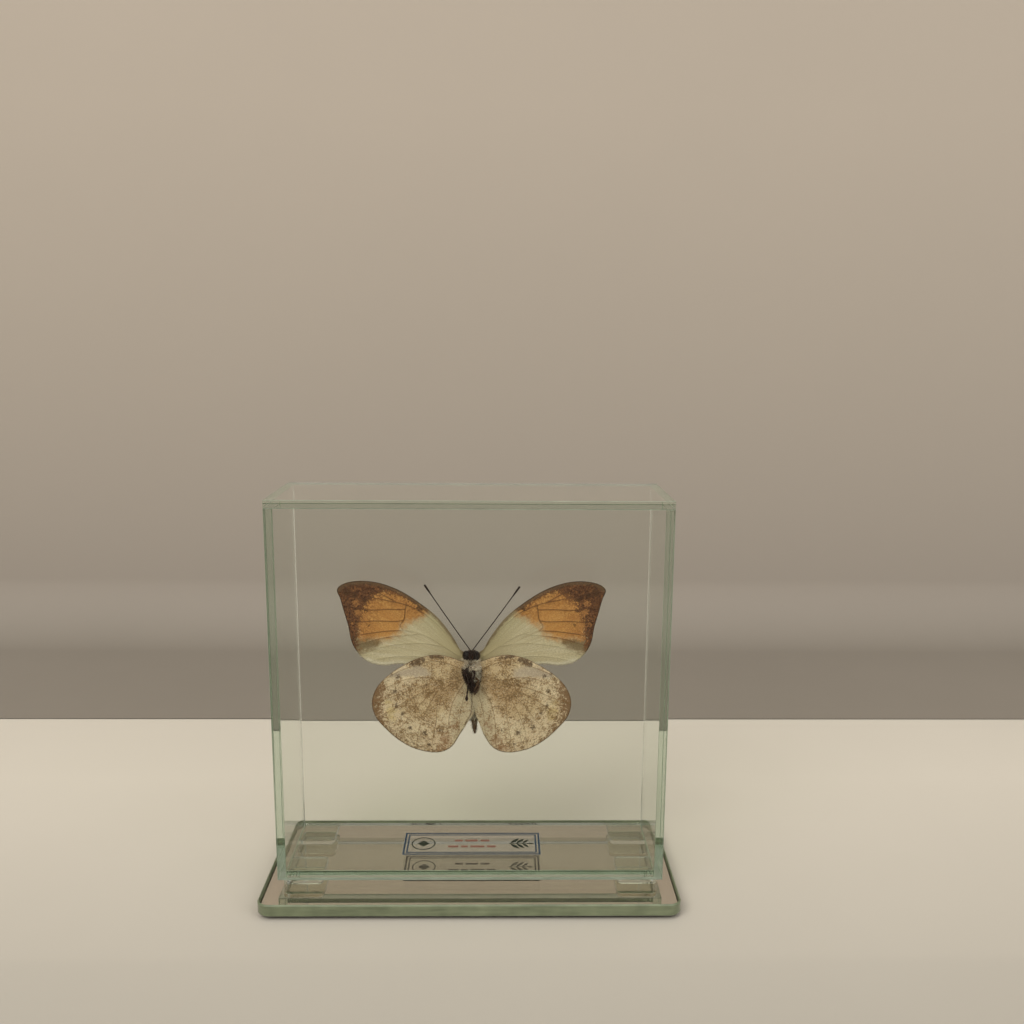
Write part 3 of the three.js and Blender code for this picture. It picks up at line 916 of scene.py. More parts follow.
def build_case():
    """The six panes of the box."""
    glass = material("float_glass_pane", float_glass, density=16.0, tint=0xFAFBF9)
    edge = material("ground_arris", ground_edge, dark=0x75816D, light=0x949E88)
    # Painted light: the lower ends of the upright panes face the mirror and lie in shade, so they take a
    # lighter copy of the ground edge, which lets half of what is behind it through.
    foot = material("ground_foot_painted_light", ground_edge, dark=0xB4BCA8, light=0xCDD3C2, cover=0.5)
    for side in ("front", "back", "left", "right", "bottom", "top"):
        glass_pane("pane_" + side, glass, edge, foot)


def build_base():
    """A slab of glass silvered underneath, with a coat of paint over the silver."""
    low, high = corners("mirror_base")
    low.z += PAINT_THICK
    thick = high.z - low.z
    slab_glass = material("float_glass_base", float_glass, density=7.0, tint=0xFFFFFC)
    silver = material("silvering", silvering)
    rim = material("ground_rim", ground_edge, dark=0x5C6449, light=0x7A8264)
    profile = [(BASE_ARRIS, 0), (0, BASE_ARRIS), (0, thick - BASE_ARRIS), (BASE_ARRIS, thick)]
    looks = [slab_glass, silver, rim]
    slab = rounded_plate("base_slab", low, high, BASE_CORNER, profile, looks, steps=18)
    for face in slab.data.polygons:
        face.material_index = 0 if face.normal.z > 0.9 else 1 if face.normal.z < -0.9 else 2
    settle(slab, "mirror_glass", "mirror_base")

    low.z -= PAINT_THICK
    coat = [(BASE_ARRIS + 0.02, 0), (BASE_ARRIS, 0.01), (BASE_ARRIS, PAINT_THICK - 0.01)]
    paint = rounded_plate("base_backing", low, high, BASE_CORNER, coat,
                          [material("backing_paint", backing_paint)], steps=18)
    settle(paint, "mirror_glass")


def build_feet_and_pads():
    """A rubber foot under each corner of the base, and a clear pad under each of the box."""
    rubber = material("black_rubber", black_rubber)
    clear = material("clear_polyurethane", clear_polyurethane)
    for corner in ("front_left", "front_right", "back_left", "back_right"):
        low, high = corners("foot_" + corner)
        foot = rounded_plate("rubber_foot_" + corner, low, high, FOOT_CORNER, FOOT_PROFILE,
                             [rubber], smooth=True, steps=9)
        settle(foot, "foot_rubber", "foot_" + corner)
        low, high = corners("pad_" + corner)
        thick = high.z - low.z
        pad_profile = [(0.12, 0.02), (0.03, 0.05), (0.0, 0.14), (0.0, thick - 0.3),
                       (0.09, thick - 0.1), (0.3, thick - 0.02)]
        pad = rounded_plate("clear_pad_" + corner, low, high, PAD_CORNER, pad_profile, [clear])
        settle(pad, "clear_pad", "pad_" + corner)


# ---- label -------------------------------------------------------------------------------


def ink_mesh(name, outlines, floor, ink):
    """Flat printed shapes of some thickness on a film."""
    points, faces = [], []
    for outline in outlines:
        loops = [[(x, y, floor) for x, y in outline], [(x, y, floor + INK_THICK) for x, y in outline]]
        more_points, more_faces = skin(loops)
        start = len(points)
        points += more_points
        faces += [tuple(start + i for i in face) for face in more_faces]
    return mesh_piece(name, points, faces, [ink], smooth=False)


def bar(x0, x1, y0, y1):
    """The outline of a printed bar."""
    return [(x0, y0), (x1, y0), (x1, y1), (x0, y1)]


def frame_bars(low, high, inset, width):
    """The four bars of a ruled border."""
    x0, x1, y0, y1 = low.x + inset, high.x - inset, low.y + inset, high.y - inset
    return [bar(x0, x1, y0, y0 + width), bar(x0, x1, y1 - width, y1),
            bar(x0, x0 + width, y0 + width, y1 - width), bar(x1 - width, x1, y0 + width, y1 - width)]


def leaf(x, y, length, turn):
    """A pointed leaf outline that starts at a place and lies at an angle."""
    points = []
    for side in (1, -1):
        for share in np.linspace(0, 1, 7)[:-1] if side == 1 else np.linspace(1, 0, 7)[:-1]:
            wide = side * 0.15 * length * math.sin(math.pi * share) ** 1.2
            along = share * length
            points.append((x + along * math.cos(turn) - wide * math.sin(turn),
                           y + along * math.sin(turn) + wide * math.cos(turn)))
    return points


def ring_outline(x, y, radius, width):
    """A printed ring, as short bars round a circle."""
    arcs = 28
    bars = []
    for number in range(arcs):
        ends = []
        for share, reach in ((0, radius), (1, radius), (1, radius - width), (0, radius - width)):
            turn = 2 * math.pi * (number + share) / arcs
            ends.append((x + reach * math.cos(turn), y + reach * math.sin(turn)))
        bars.append(ends)
    return bars


def build_label():
    """Clear film with a blue double border, ruled lines where writing would be, a plain leaf
    sprig and a lozenge."""
    low, high = corners("label_film")
    film = material("printed_film", printed_film)
    sheet = rounded_plate("label_sheet", low, high, 0.4, FILM_PROFILE, [film], steps=4)
    settle(sheet, "label_film", "label_film")
    top = low.z + INK_LIFT
    middle = (low.y + high.y) / 2

    border = []
    for inset, width in BORDERS:
        border += frame_bars(low, high, inset, width)
    blue = material("toner_blue", toner, colour=0x263C50)
    settle(ink_mesh("label_border", border, top, blue), "label_film")

    words = []
    for row, lengths in zip((middle - LINE_SHIFT, middle + LINE_SHIFT), WORDS):
        start = -sum(lengths) / 2 - WORD_GAP * (len(lengths) - 1) / 2
        for length in lengths:
            words.append(bar(start, start + length, row - WORD_HALF, row + WORD_HALF))
            start += length + WORD_GAP
    brown = material("toner_brown", toner, colour=0x8A5A4C)
    settle(ink_mesh("label_lines", words, top, brown), "label_film")

    x = SPRIG_START
    sprig = [bar(x, x + 6.0, middle - 0.16, middle + 0.16), leaf(x + 5.8, middle, 2.6, 0.0)]
    for step, length in enumerate((4.4, 4.0, 3.2)):
        for side in (1, -1):
            sprig.append(leaf(x + 0.4 + 2.0 * step, middle + side * 0.1, length, side * 0.82))
    x = RING_CENTRE
    hoop = ring_outline(x, middle, RING_RADIUS, 0.4)
    lozenge = [(x - 2.0, middle), (x, middle - 1.9), (x + 2.0, middle), (x, middle + 1.9)]
    green = material("toner_green", toner, colour=0x232B1D)
    settle(ink_mesh("label_marks", [*sprig, *hoop, lozenge], top, green), "label_film")


# ---- stem and glue -----------------------------------------------------------------------


def build_support():
    """The clear rod behind the thorax, and the drop of glue at each of its ends."""
    low, high = corners("support_stem")
    centre = ((low.x + high.x) / 2, (low.z + high.z) / 2)
    radius = (high.x - low.x) / 2
    rod = [(radius - 0.12, low.y + 0.02), (radius, low.y + 0.14), (radius, high.y - 0.14),
           (radius - 0.12, high.y - 0.02)]
    acrylic = material("cast_acrylic", cast_acrylic)
    settle(turned("clear_stem", rod, centre, [acrylic]), "clear_acrylic", "support_stem")
    glue = material("cured_glue", cured_glue)
    for end in ("thorax", "pane"):
        low, high = corners("glue_dot_" + end)
        wide, deep = (high.x - low.x) / 2, high.y - low.y
        drop = [(0.93, 0.01), (1.0, 0.1), (0.94, 0.3), (0.8, 0.48), (0.64, deep - 0.02)]
        profile = [(wide * share, low.y + y) for share, y in drop]
        if end == "pane":
            profile = [(wide * share, high.y - y) for share, y in reversed(drop)]
        settle(turned("glue_drop_" + end, profile, centre, [glue]), "clear_glue", "glue_dot_" + end)


# ---- wings -------------------------------------------------------------------------------


def front_outline(node):
    """The closed outline of a wing solid's front face, as x and z in millimetres."""
    shape = merged(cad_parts[node].data)
    shape.normal_update()
    front = {face.index for face in shape.faces if face.normal.y < -0.9}
    after = {}
    for face in shape.faces:
        if face.index in front:
            for loop in face.loops:
                others = [f for f in loop.edge.link_faces if f != face]
                if not others or others[0].index not in front:
                    after[loop.vert.index] = loop.link_loop_next.vert.index
    start = next(iter(after))
    order = [start]
    while after[order[-1]] != start:
        order.append(after[order[-1]])
    shape.verts.ensure_lookup_table()
    line = np.array([(shape.verts[i].co.x / MM, shape.verts[i].co.z / MM) for i in order])
    shape.free()
    return line


def resampled(loop, step):
    """Evenly spaced points on a closed line."""
    closed = np.vstack([loop, loop[:1]])
    runs = np.r_[0, np.cumsum(np.linalg.norm(np.diff(closed, axis=0), axis=1))]
    places = np.linspace(0, runs[-1], int(runs[-1] / step), endpoint=False)
    return np.column_stack([np.interp(places, runs, closed[:, axis]) for axis in (0, 1)])


def distance_to(points, lines):
    """Distance from each point to the nearest of some lines."""
    nearest = np.full(len(points), 1e9)
    for line in lines:
        for a, b in zip(line[:-1], line[1:]):
            run = b - a
            share = np.clip(((points - a) @ run) / max(run @ run, 1e-12), 0, 1)
            nearest = np.minimum(nearest, np.linalg.norm(points - a - share[:, None] * run, axis=1))
    return nearest


def is_inside(points, loop):
    """Which points lie inside a closed line."""
    inside = np.zeros(len(points), bool)
    x, z = points.T
    for (ax, az), (bx, bz) in zip(loop, np.roll(loop, -1, axis=0)):
        crosses = (az > z) != (bz > z)
        if az != bz:
            inside ^= crosses & (x < (bx - ax) * (z - az) / (bz - az) + ax)
    return inside


def depth_inside(points, loop):
    """Distance to a closed line, above nought inside it."""
    away = distance_to(points, [np.vstack([loop, loop[:1]])])
    return np.where(is_inside(points, loop), away, -away)


# The fringe as hair_coat takes it, and the parts of a wing's margin that have it.
FRINGE = (34, 0.42, 0.035, (0, 0, -0.15), 0.25)
FRINGE_SEED = 11
DOWN_SEED = 31
FRINGED = {"forewing": lambda x, z: z < 76 or x > 36, "hindwing": lambda x, z: z < 64}


class Wing:
    """One kind of wing: its outline, veins, patches and marks on the right side."""

    def __init__(self, kind, veins, patches, marks):
        self.kind = kind
        self.middle_y = WING_Y[kind]
        self.root = np.array(WING_ROOT[kind])
        rough = front_outline(kind + "_right")
        near_body = (rough[:, 0] < BODY_EDGE) & (rough[:, 1] > BODY_FOOT)
        rough[near_body, 0] -= ROOT_TUCK
        if kind == "hindwing":
            meets = (rough[:, 0] < BODY_EDGE) & (rough[:, 1] < BODY_FOOT)
            share = np.clip((rough[:, 1] - 53.6) / 3.0, 0, 1) * meets
            rough[:, 0] += share * (WING_MEETING - rough[:, 0])
        self.outline = resampled(rough, WING_STEP)
        self.veins = [smooth_line(line, 8) for line in veins.values()]
        self.patches = {name: smooth_line(loop, 5, closed=True) for name, loop in patches.items()}
        self.marks = marks
        self.costa = smooth_line(WING_COSTA[kind])

    def fields(self, points, side):
        """What the wing's materials read at each point: distances, and the grain."""
        out = {
            "margin_mm": np.abs(depth_inside(points, self.outline)),
            "vein_mm": distance_to(points, self.veins),
            "costa_mm": distance_to(points, [self.costa]),
            "root_mm": np.linalg.norm(points - self.root, axis=1),
        }
        # The dark band along the front edge widens outwards.
        band = 0.75 + 0.4 * np.clip((points[:, 0] - 6) / 26, 0, 1)
        out["front_band_mm"] = band - out["costa_mm"]
        out["edge_band_mm"] = EDGE_BAND - out["margin_mm"]
        for name, loop in self.patches.items():
            out[name + "_mm"] = depth_inside(points, loop)
        for name, marks in self.marks.items():
            reach = [r - np.hypot(points[:, 0] - x, points[:, 1] - z) for x, z, r in marks]
            out[name + "_mm"] = np.max(reach, axis=0)
        away = points - self.root
        angle = np.arctan2(away[:, 1], away[:, 0])
        grain = np.column_stack([out["root_mm"], angle * GRAIN_TURN, np.full(len(points), 9.0 * side)])
        return out, grain

    def slant(self, points):
        """How far points move across, on both sides alike, so that the line where the
        hindwings meet slants down over the abdomen."""
        if self.kind == "forewing":
            return np.zeros(len(points))
        lean = np.interp(points[:, 1], SEAM_HEIGHTS, SEAM_SHIFTS)
        return lean * np.clip(1 - points[:, 0] / SEAM_REACH, 0, 1)

    def depth(self, points, side):
        """How far the wing's middle lies from the front, at each point: it bows towards its
        tip, and the skin sinks between the veins."""
        x, z = points.T
        bow = TIP_BOW * (np.clip(x - 6, 0, None) / 36) ** 2 + EDGE_BOW * ((z - 72) / 26) ** 2 * (x / 30)
        hollow = SKIN_HOLLOW * (1 - np.exp(-distance_to(points, self.veins) / 0.9))
        wave = np.array([noise.noise((side * px * 0.11, pz * 0.11, 4.0)) for px, pz in points])
        rise = np.clip((x - 3) / 6, 0, 1)
        return self.middle_y + rise * (bow + SKIN_WAVE * wave) + hollow


def wing_sheet(wing):
    """The points and triangles of a flat wing, from its outline inwards."""
    low, high = wing.outline.min(0), wing.outline.max(0)
    rows = np.arange(low[1], high[1], WING_STEP * 0.866)
    grid = []
    for number, z in enumerate(rows):
        shift = WING_STEP / 2 * (number % 2)
        xs = np.arange(low[0] + shift, high[0], WING_STEP)
        grid.append(np.column_stack([xs, np.full(len(xs), z)]))
    grid = np.vstack(grid)
    grid = grid[depth_inside(grid, wing.outline) > WING_STEP * 0.6]
    known = [Vector(p) for p in np.vstack([wing.outline, grid])]
    ring = list(range(len(wing.outline)))
    points, _, faces, *_ = geometry.delaunay_2d_cdt(known, [], [ring], 1, 1e-5)
    return np.array([tuple(p) for p in points]), [tuple(face) for face in faces]


def give_fields(mesh, wing, side):
    """Writes the wing's fields on every vertex of a mesh."""
    places = np.empty(len(mesh.vertices) * 3)
    mesh.vertices.foreach_get("co", places)
    places = places.reshape(-1, 3) / MM
    points = np.column_stack([side * places[:, 0], places[:, 2]])
    values, grain = wing.fields(points, side)
    for name, value in values.items():
        mesh.attributes.new(name, "FLOAT", "POINT").data.foreach_set("value", value.astype(np.float32))
    held = mesh.attributes.new("grain", "FLOAT_VECTOR", "POINT")
    held.data.foreach_set("vector", grain.astype(np.float32).ravel())


def wing_shell(name, wing, side, sheet, skins):
    """A wing as a closed thin shell: underside, upper side and the rim between them."""
    points, triangles = sheet
    middle = wing.depth(points, side)
    margin = np.abs(depth_inside(points, wing.outline))
    half = RIM_SKIN / 2 + (WING_SKIN - RIM_SKIN) / 2 * np.clip(margin / RIM_WIDTH, 0, 1)
    ridge = VEIN_RIDGE * np.exp(-(distance_to(points, wing.veins) / 0.25) ** 2)
    across = side * points[:, 0] + wing.slant(points)
    front = np.column_stack([across, middle - half - ridge, points[:, 1]])
    back = np.column_stack([across, middle + half + ridge, points[:, 1]])
    count = len(points)

    used = {}
    for a, b, c in triangles:
        for edge in ((a, b), (b, c), (c, a)):
            used[edge] = True
    rim = [edge for edge in used if edge[::-1] not in used]
    faces = list(triangles)
    faces += [(c + count, b + count, a + count) for a, b, c in triangles]
    faces += [(b, a, a + count, b + count) for a, b in rim]
    if side < 0:
        faces = [tuple(reversed(face)) for face in faces]
    made = mesh_piece(name, np.vstack([front, back]).tolist(), faces, skins)
    which = [0] * len(triangles) + [1] * len(triangles) + [0] * len(rim)
    made.data.polygons.foreach_set("material_index", which)
    return made


def vein_lines(wing, side, towards):
    """The veins as lines of edges on one side of the wing: -1 the underside, 1 the upper."""
    points, edges = [], []
    for vein in wing.veins:
        kept = vein[depth_inside(vein, wing.outline) > 0.12]
        depth = wing.depth(kept, side) + towards * (WING_SKIN / 2 + VEIN_PROUD)
        start = len(points)
        across = side * kept[:, 0] + wing.slant(kept)
        points += list(zip(across, depth, kept[:, 1]))
        edges += [(start + i, start + i + 1) for i in range(len(kept) - 1)]
    return mesh_piece("vein_lines", points, [], [], edges=edges)


def give_hair(mesh, shares):
    """Writes how hairy each vertex is, nought to one."""
    held = mesh.attributes.get("hair") or mesh.attributes.new("hair", "FLOAT", "POINT")
    held.data.foreach_set("value", [float(share) for share in shares])


def rim_band(wing, side):
    """A narrow band round a wing's margin, that its fringe grows from."""
    loop = wing.outline
    depth = wing.depth(loop, side)
    shares = [FRINGED[wing.kind](x, z) for x, z in loop]
    points = []
    across = side * loop[:, 0] + wing.slant(loop)
    for y_shift in (-0.04, 0.04):
        points += list(zip(across, depth + y_shift, loop[:, 1]))
    count = len(loop)
    faces = []
    for i in range(count):
        j = (i + 1) % count
        faces.append((j, i, i + count, j + count) if side > 0 else (i, j, j + count, i + count))
    band = mesh_piece("fringe_band", points, faces, [])
    give_hair(band.data, shares + shares)
    return band


def inner_edge_strip(wing, side):
    """A strip over the wing's inner edge, that its long pale hair grows from."""
    heights = np.linspace(54.6, 65.5, 40)
    points = []
    for x in (0.1, 0.9, 1.7):
        line = np.column_stack([np.full(len(heights), x), heights])
        depth = wing.depth(line, side) - WING_SKIN / 2 - 0.02
        points += list(zip(side * x + wing.slant(line), depth, heights))
    count = len(heights)
    faces = []
    for row in range(2):
        for i in range(count - 1):
            a = row * count + i
            quad = (a, a + count, a + count + 1, a + 1)
            faces.append(quad if side > 0 else tuple(reversed(quad)))
    strip = mesh_piece("inner_strip", points, faces, [])
    give_hair(strip.data, [1.0] * count + [0.55] * count + [0.1] * count)
    return strip


def build_wings(ribs, hairs):
    """Both pairs of wings: the shells with their veins, and their hair."""
    forewing = Wing("forewing", FOREWING_VEINS, FOREWING_PATCHES, FOREWING_MARKS)
    hindwing = Wing("hindwing", HINDWING_VEINS, HINDWING_PATCHES, HINDWING_MARKS)
    skins = {
        "forewing": [material("forewing_underside", forewing_under),
                     material("forewing_upperside", forewing_upper)],
        "hindwing": [material("hindwing_underside", hindwing_under),
                     material("hindwing_upperside", hindwing_upper)],
    }
    cilia = material("wing_fringe", insect_hair, dark=0x9A8A6A, light=0xCFC4A4)
    for wing in (forewing, hindwing):
        sheet = wing_sheet(wing)
        for side_name, side in SIDES.items():
            node = f"{wing.kind}_{side_name}"
            parts = [wing_shell("wing_" + node, wing, side, sheet, skins[wing.kind])]
            for towards, look in ((-1, 0), (1, 1)):
                lines = vein_lines(wing, side, towards)
                parts.append(grown("vein_ribs", lines, ribs, {
                    "Root Radius": VEIN_ROOT * MM, "Tip Radius": VEIN_TIP * MM, "Sides": 6,
                    "Material": skins[wing.kind][look]}))
                discard(lines)
            piece = joined(parts)
            give_fields(piece.data, wing, side)
            settle(piece, wing.kind, node)

            band = rim_band(wing, side)
            fringe = hair_coat("fringe_" + node, band, hairs, cilia, FRINGE, FRINGE_SEED + side)
            discard(band)
            settle(fringe, wing.kind)
    build_inner_down(hindwing, hairs)


def build_inner_down(wing, hairs):
    """The long pale hair on the inner edges of the hindwings."""
    down = material("inner_edge_down", insect_hair, dark=0xB9AB8C, light=0xDDD2B8)
    for side_name, side in SIDES.items():
        strip = inner_edge_strip(wing, side)
        coat = (9, 1.2, 0.035, (-side * 0.5, 0.35, -2.6), 0.45)
        tuft = hair_coat("inner_down_" + side_name, strip, hairs, down, coat, DOWN_SEED + side)
        discard(strip)
        settle(tuft, "hindwing")


# ---- body --------------------------------------------------------------------------------


def slimmed(x, y, z):
    """The x of a point of the body once the thorax's front is narrowed towards its lower end,
    which leans to one side, and the abdomen towards its tip."""
    if y > 2.4 and z < 62:
        middle = 0.5 + 0.45 * min(1.0, max(0.0, (60.0 - z) / 4))
        taper = 1 - ABDOMEN_SLIM * min(1.0, max(0.0, (60 - z) / 7))
        return middle + (x - middle) * taper
    lower = min(1.0, max(0.0, (70.5 - z) / 5)) if z > 62 else 1.0
    return x * (1 - THORAX_SLIM * lower) + THORAX_LEAN * lower if z < 72.5 else x


def body_skin():
    """Head, neck, thorax and abdomen as one lumpy skin with rings on the abdomen."""
    source = shape_piece("body_source", merged(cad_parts["butterfly_body"].data), [])
    remesh = source.modifiers.new("even", "REMESH")
    remesh.mode = "VOXEL"
    remesh.voxel_size = BODY_VOXEL * MM
    soften = source.modifiers.new("soften", "SMOOTH")
    soften.iterations = 6
    body = baked("butterfly_skin", source)
    discard(source)

    mesh = body.data
    count = len(mesh.vertices)
    places, normals = np.empty(count * 3), np.empty(count * 3)
    mesh.vertices.foreach_get("co", places)
    mesh.vertices.foreach_get("normal", normals)
    places, normals = places.reshape(-1, 3), normals.reshape(-1, 3)
    for place, normal in zip(places, normals):
        x, y, z = place / MM
        lump = noise.fractal(Vector((x, y, z)) * 0.9, 1.0, 2.0, 3)
        push = SKIN_LUMP * lump
        if z < ABDOMEN_TOP and y > 2.0:
            share = (z - ABDOMEN_TIP) / ABDOMEN_LENGTH
            phase = share * ABDOMEN_RINGS % 1.0
            push -= RING_GROOVE * math.exp(-((phase - 0.5) / 0.13) ** 2) * min(1, share * 4)
            push += ABDOMEN_LUMP * lump
        elif 63 < z < 74:
            push += THORAX_LUMP * lump
        place += normal * push * MM
        place[0] = slimmed(*(place / MM)) * MM
    mesh.vertices.foreach_set("co", places.ravel())
    mesh.update()
    return body


def ball(name, centre, half, look, levels=4):
    """A closed ellipsoid of even small faces, for a part as round as an eye or a foot."""
    shape = bmesh.new()
    bmesh.ops.create_icosphere(shape, subdivisions=levels, radius=1.0)
    place = Matrix.Translation(Vector(centre) * MM) @ Matrix.Diagonal((*(Vector(half) * MM), 1))
    bmesh.ops.transform(shape, matrix=place, verts=shape.verts)
    return shape_piece(name, shape, [look], smooth=True)


def leg(name, bends, widths, look):
    """A jointed leg: each stretch swells from its joint, and the last ends at half its width."""
    path, radii = [], []
    steps = 7
    for number, (a, b) in enumerate(zip(bends[:-1], bends[1:])):
        for step in range(steps):
            share = step / steps
            path.append(Vector(a).lerp(Vector(b), share))
            swell = 0.72 + 0.38 * math.sin(math.pi * min(share * 1.15, 1.0))
            radii.append(widths[number] * swell)
    path.append(Vector(bends[-1]))
    radii.append(widths[-1] * 0.5)
    return limb(name, path, radii, [look])


# Rule of where it grows, hairs a square millimetre, length, width, lay, ruffle, dark and light.
HAIR_COATS = {
    "collar_hair": (lambda x, y, z: 71.2 < z < 74.9,
                    34, 1.0, 0.055, (0, -0.25, -0.35), 0.6, 0xB2926A, 0xFFF6E4),
    "crown_hair": (lambda x, y, z: z > 75.3 and abs(x) < 1.2,
                   44, 0.7, 0.04, (0, -0.3, 0.9), 0.55, 0x1C100C, 0x4C3425),
    "thorax_hair": (lambda x, y, z: 63.2 < z <= 71.8 and not (x > 0.4 and y < 0.8 and z > 68.4),
                    26, 0.95, 0.05, (0, 0, -0.7), 0.45, 0x1C110D, 0x4E3628),
    "flank_hair": (lambda x, y, z: 68.0 < z < 72.2 and x > 0.3 and y < 1.2,
                   26, 0.8, 0.045, (0.3, 0, -0.6), 0.4, 0x85755F, 0xDDD2BC),
    "back_hair": (lambda x, y, z: 63.5 < z < 73 and y > 2.4,
                  18, 1.3, 0.045, (0, 0.2, -0.6), 0.4, 0x6E6350, 0xB7AB90),
    "abdomen_hair": (lambda x, y, z: z < 64.5 and y > 1.8,
                     9, 0.55, 0.035, (0, 0, -1.4), 0.3, 0x6A6050, 0xA89C84),
}
COAT_SEED = 3


def body_coats(body, hairs):
    """The coats of hair on the body, grown before any is put in its place."""
    made = []
    for seed, (name, (rule, *coat, dark, light)) in enumerate(HAIR_COATS.items(), COAT_SEED):
        give_hair(body.data, [rule(*(v.co / MM)) for v in body.data.vertices])
        look = material(name + "_strands", insect_hair, dark=dark, light=light)
        made.append(hair_coat(name, body, hairs, look, coat, seed))
    for hair in made:
        settle(hair, "insect_body")


def mouthparts(palp_look, coil_look):
    """The two palps and the coiled proboscis between them."""
    parts = []
    for side in SIDES.values():
        palp = smooth_line([(side * x + PALP_SHIFT, y, z) for x, y, z in PALP], 4)
        radii = np.interp(np.linspace(0, 1, len(palp)), [0, 0.5, 1], [0.3, 0.36, 0.1])
        parts.append(limb("palp", palp, radii, [palp_look]))
    x, y, z = COIL_CENTRE
    coil = []
    for turn in np.linspace(0, COIL_TURNS * 2 * math.pi, 56):
        radius = COIL_RADIUS - COIL_STEP * turn
        coil.append((x, y - radius * math.sin(turn), z - radius * math.cos(turn)))
    widths = np.linspace(0.09, 0.04, len(coil))
    parts.append(limb("proboscis", coil, widths, [coil_look], sides=8))
    return parts


def build_body(hairs):
    """The body with its hair, eyes, mouthparts and folded legs, the hanging leg and the
    antennae."""
    thorax_look = material("thorax_chitin", chitin, dark=0x170D0A, light=0x3C281F, size=0.8,
                           roughness=0.6, gloss=0.08)
    abdomen_look = material("abdomen_chitin", chitin, dark=0x2A1C14, light=0x6A5038, size=0.6,
                            roughness=0.6, gloss=0.05)
    limb_look = material("limb_chitin", chitin, dark=0x150C0A, light=0x33211A, size=0.5,
                         roughness=0.5, gloss=0.15)
    eye_look = material("compound_eye", compound_eye)

    body = body_skin()
    body.data.materials.clear()
    body.data.materials.append(thorax_look)
    body.data.materials.append(abdomen_look)
    for face in body.data.polygons:
        face.use_smooth = True
        face.material_index = 1 if face.center.z < 65.0 * MM and face.center.y > 2.0 * MM else 0

    body_coats(body, hairs)

    parts = [body]
    for side, place in EYES.items():
        parts.append(ball("eye_" + side, place, EYE_HALF, eye_look))
    parts += mouthparts(thorax_look, limb_look)
    for number, bends in enumerate(FOLDED_LEGS):
        look = limb_look if number < 3 else abdomen_look
        parts.append(leg(f"leg_folded_{number}", bends, (0.42, 0.3, 0.2), look))
    settle(joined(parts), "insect_body", "butterfly_body")

    hanging = [LEG_HIP] + [Vector(p) for p in LEG_BENDS]
    shin = leg("leg_shin", hanging, (0.34, 0.28, 0.27, 0.3), limb_look)
    foot = ball("leg_foot", LEG_FOOT, (0.5, 0.45, 0.78), limb_look, 3)
    settle(joined([shin, foot]), "insect_limb", "leg_hanging")

    for name, side in SIDES.items():
        build_antenna(name, side, limb_look)


def build_antenna(name, side, look):
    """A ringed shaft that thickens into a club at its tip."""
    low, high = corners("antenna_" + name)
    depth = (low.y + high.y) / 2
    tip = Vector((low.x if side < 0 else high.x, depth, high.z)) - Vector((side * 0.2, 0, 0.2))
    root = Vector((high.x if side < 0 else low.x, depth, low.z))
    run = tip - root
    socket = root - run.normalized() * SOCKET_REACH
    path, radii = [], []
    for number in range(ANTENNA_RINGS + 1):
        share = number / ANTENNA_RINGS
        sag = Vector((side * 0.35, 0.25, 0.25)) * math.sin(math.pi * share)
        path.append(socket.lerp(tip, share) + sag)
        club = max(0.0, (share - CLUB_START) / (1 - CLUB_START))
        shaft = SHAFT_RADIUS + CLUB_SWELL * math.sin(min(club, 1) * math.pi * 0.62)
        ringed = 1.0 - RING_DEPTH * (number % 3 == 0)
        radii.append(shaft * ringed * (1.0 if number < ANTENNA_RINGS else 0.45))
    antenna = limb("feeler_" + name, path, radii, [look])
    settle(antenna, "insect_limb", "antenna_" + name)


# ---- stage, light and camera -------------------------------------------------------------


def painted_floor(tree):
    """Matt pale board: nearly even, with the faintest clouding, and painted shade that darkens it
    towards the front.
    """
    colour = over(tree, 0xCAC2B3, object_noise(tree, 90.0), 0xCFC7B8)
    where = add(tree, "ShaderNodeTexCoord")
    along = add(tree, "ShaderNodeSeparateXYZ", {0: where.outputs["Object"]})
    # Painted shade: in front of the box the board is dimmed to seven tenths, where less lamp light
    # falls.
    shade = add(tree, "ShaderNodeMapRange", {
        0: along.outputs[1], 1: -80 * MM, 2: 70 * MM, 3: 0.7, 4: 1.0})
    dimmed = add(tree, "ShaderNodeVectorMath", {0: colour, "Scale": shade}, operation="SCALE")
    return add(tree, "ShaderNodeBsdfPrincipled", {"Base Color": dimmed, "Roughness": 0.75}), None


def backdrop_paper(tree):
    """Taupe background paper: dead matt, with painted shade that darkens it towards the floor."""
    where = add(tree, "ShaderNodeTexCoord")
    along = add(tree, "ShaderNodeSeparateXYZ", {0: where.outputs["Object"]})
    # Painted shade: the paper is darkest where it meets the floor and lightens over its lowest 300 mm.
    height = add(tree, "ShaderNodeMapRange", {0: along.outputs[2], 1: 0.0, 2: 300 * MM})
    shade_ramp = add(tree, "ShaderNodeValToRGB", {0: height}, stops=[
        (0.0, 0x80786C), (1.0, 0xB3A798), (0.1, 0xA0968A)])
    colour = over(tree, shade_ramp.outputs[0], object_noise(tree, 120.0), 0xA0968A, 0.2)
    return add(tree, "ShaderNodeBsdfPrincipled", {"Base Color": colour, "Roughness": 0.9}), None


def black_felt(tree):
    """Black felt: only mirrored rays meet it, so that the floor leaves no glare on the front
    pane."""
    colour = over(tree, 0x0B0B0B, object_noise(tree, 2.0), 0x141312)
    return add(tree, "ShaderNodeBsdfPrincipled", {
        "Base Color": colour, "Roughness": 1.0, "Specular IOR Level": 0.0}), None


def flat_sheet(name, reach, back, height, look):
    """A level sheet that reaches far to the sides and the front, and to some y at the back."""
    ends = [(-reach, -reach), (reach, -reach), (reach, back), (-reach, back)]
    points = [(x, y, height) for x, y in ends]
    return mesh_piece(name, points, [(0, 1, 2, 3)], [look], smooth=False)


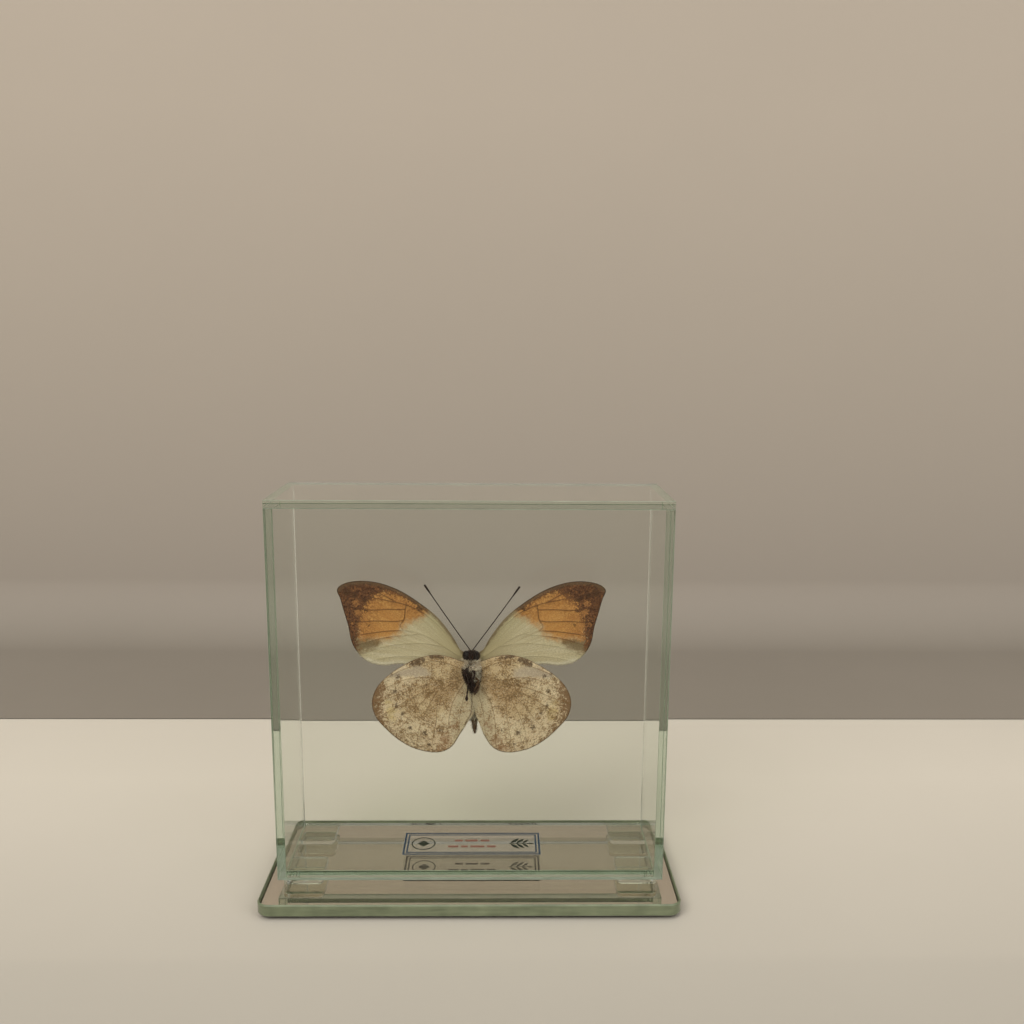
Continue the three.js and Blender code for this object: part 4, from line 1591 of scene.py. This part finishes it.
def build_stage():
    """Floor, backdrop with a round sweep, and the flag that keeps glare off the front pane."""
    half = FLOOR_SIDE / 2
    board = flat_sheet("floor", half, half, 0, material("pale_board", painted_floor))
    line = [(SWEEP_FRONT, SWEEP_LIFT)]
    for step in range(17):
        turn = step / 16 * math.pi / 2
        line.append((SWEEP_WALL - SWEEP_BEND + SWEEP_BEND * math.sin(turn),
                     SWEEP_LIFT + SWEEP_BEND - SWEEP_BEND * math.cos(turn)))
    line.append((SWEEP_WALL, SWEEP_HEIGHT))
    points = [(x, y, z) for x in (-half, half) for y, z in line]
    count = len(line)
    faces = [(i, i + count, i + count + 1, i + 1) for i in range(count - 1)]
    paper = mesh_piece("backdrop", points, faces, [material("taupe_paper", backdrop_paper)])
    flag = flat_sheet("glare_flag", half, FLAG_EDGE, FLAG_LIFT, material("black_felt", black_felt))
    for eye in ("camera", "diffuse", "transmission", "shadow", "volume_scatter"):
        setattr(flag, "visible_" + eye, False)


def area_light(name, place, aim, size, power, colour, mirrored):
    """A round lamp."""
    lamp = bpy.data.lights.new(name, "AREA")
    lamp.shape = "DISK"
    lamp.size = size * MM
    lamp.energy = power
    lamp.color = tone(colour)[:3]
    made = placed(name, lamp)
    made.location = Vector(place) * MM
    made.rotation_euler = (Vector(aim) - Vector(place)).to_track_quat("-Z", "Y").to_euler()
    made.visible_glossy = mirrored
    made.visible_transmission = mirrored


def build_light():
    """A wide lamp overhead, two smaller ones in front, and a soft even room."""
    for name, settings in LAMPS.items():
        area_light(name, *settings)
    world = bpy.data.worlds.new("soft_room")
    world.use_nodes = True
    world.node_tree.nodes.clear()
    glow = add(world.node_tree, "ShaderNodeBackground", {"Color": tone(0xE2E0DC), "Strength": ROOM_GLOW})
    add(world.node_tree, "ShaderNodeOutputWorld", {"Surface": glow})
    bpy.context.scene.world = world
    bpy.context.scene.view_settings.view_transform = "Standard"
    # Light that runs along a pane is mirrored inside it many times before it leaves.
    for kind in ("max", "glossy", "transmission"):
        setattr(bpy.context.scene.cycles, kind + "_bounces", GLASS_BOUNCES)


def build_camera():
    """The camera, turned and tilted a little off square."""
    data = bpy.data.cameras.new("camera")
    data.lens = LENS
    data.sensor_width = 36.0
    data.clip_start = 0.01
    camera = placed("camera", data)
    flat = math.cos(CAMERA_PITCH)
    ahead = Vector((math.sin(CAMERA_YAW) * flat, math.cos(CAMERA_YAW) * flat, -math.sin(CAMERA_PITCH)))
    across = Vector((math.cos(CAMERA_YAW), -math.sin(CAMERA_YAW), 0))
    up = across.cross(ahead)
    right = across * math.cos(CAMERA_ROLL) + up * math.sin(CAMERA_ROLL)
    top = up * math.cos(CAMERA_ROLL) - across * math.sin(CAMERA_ROLL)
    turn = Matrix((right, top, -ahead)).transposed().to_4x4()
    camera.matrix_world = Matrix.Translation(Vector(CAMERA_AT) * MM) @ turn
    bpy.context.scene.camera = camera


build_camera()
build_stage()
build_light()
build_case()
build_base()
build_feet_and_pads()
build_label()
build_support()
ribs = rib_tree()
hairs = hair_tree()
build_wings(ribs, hairs)
build_body(hairs)
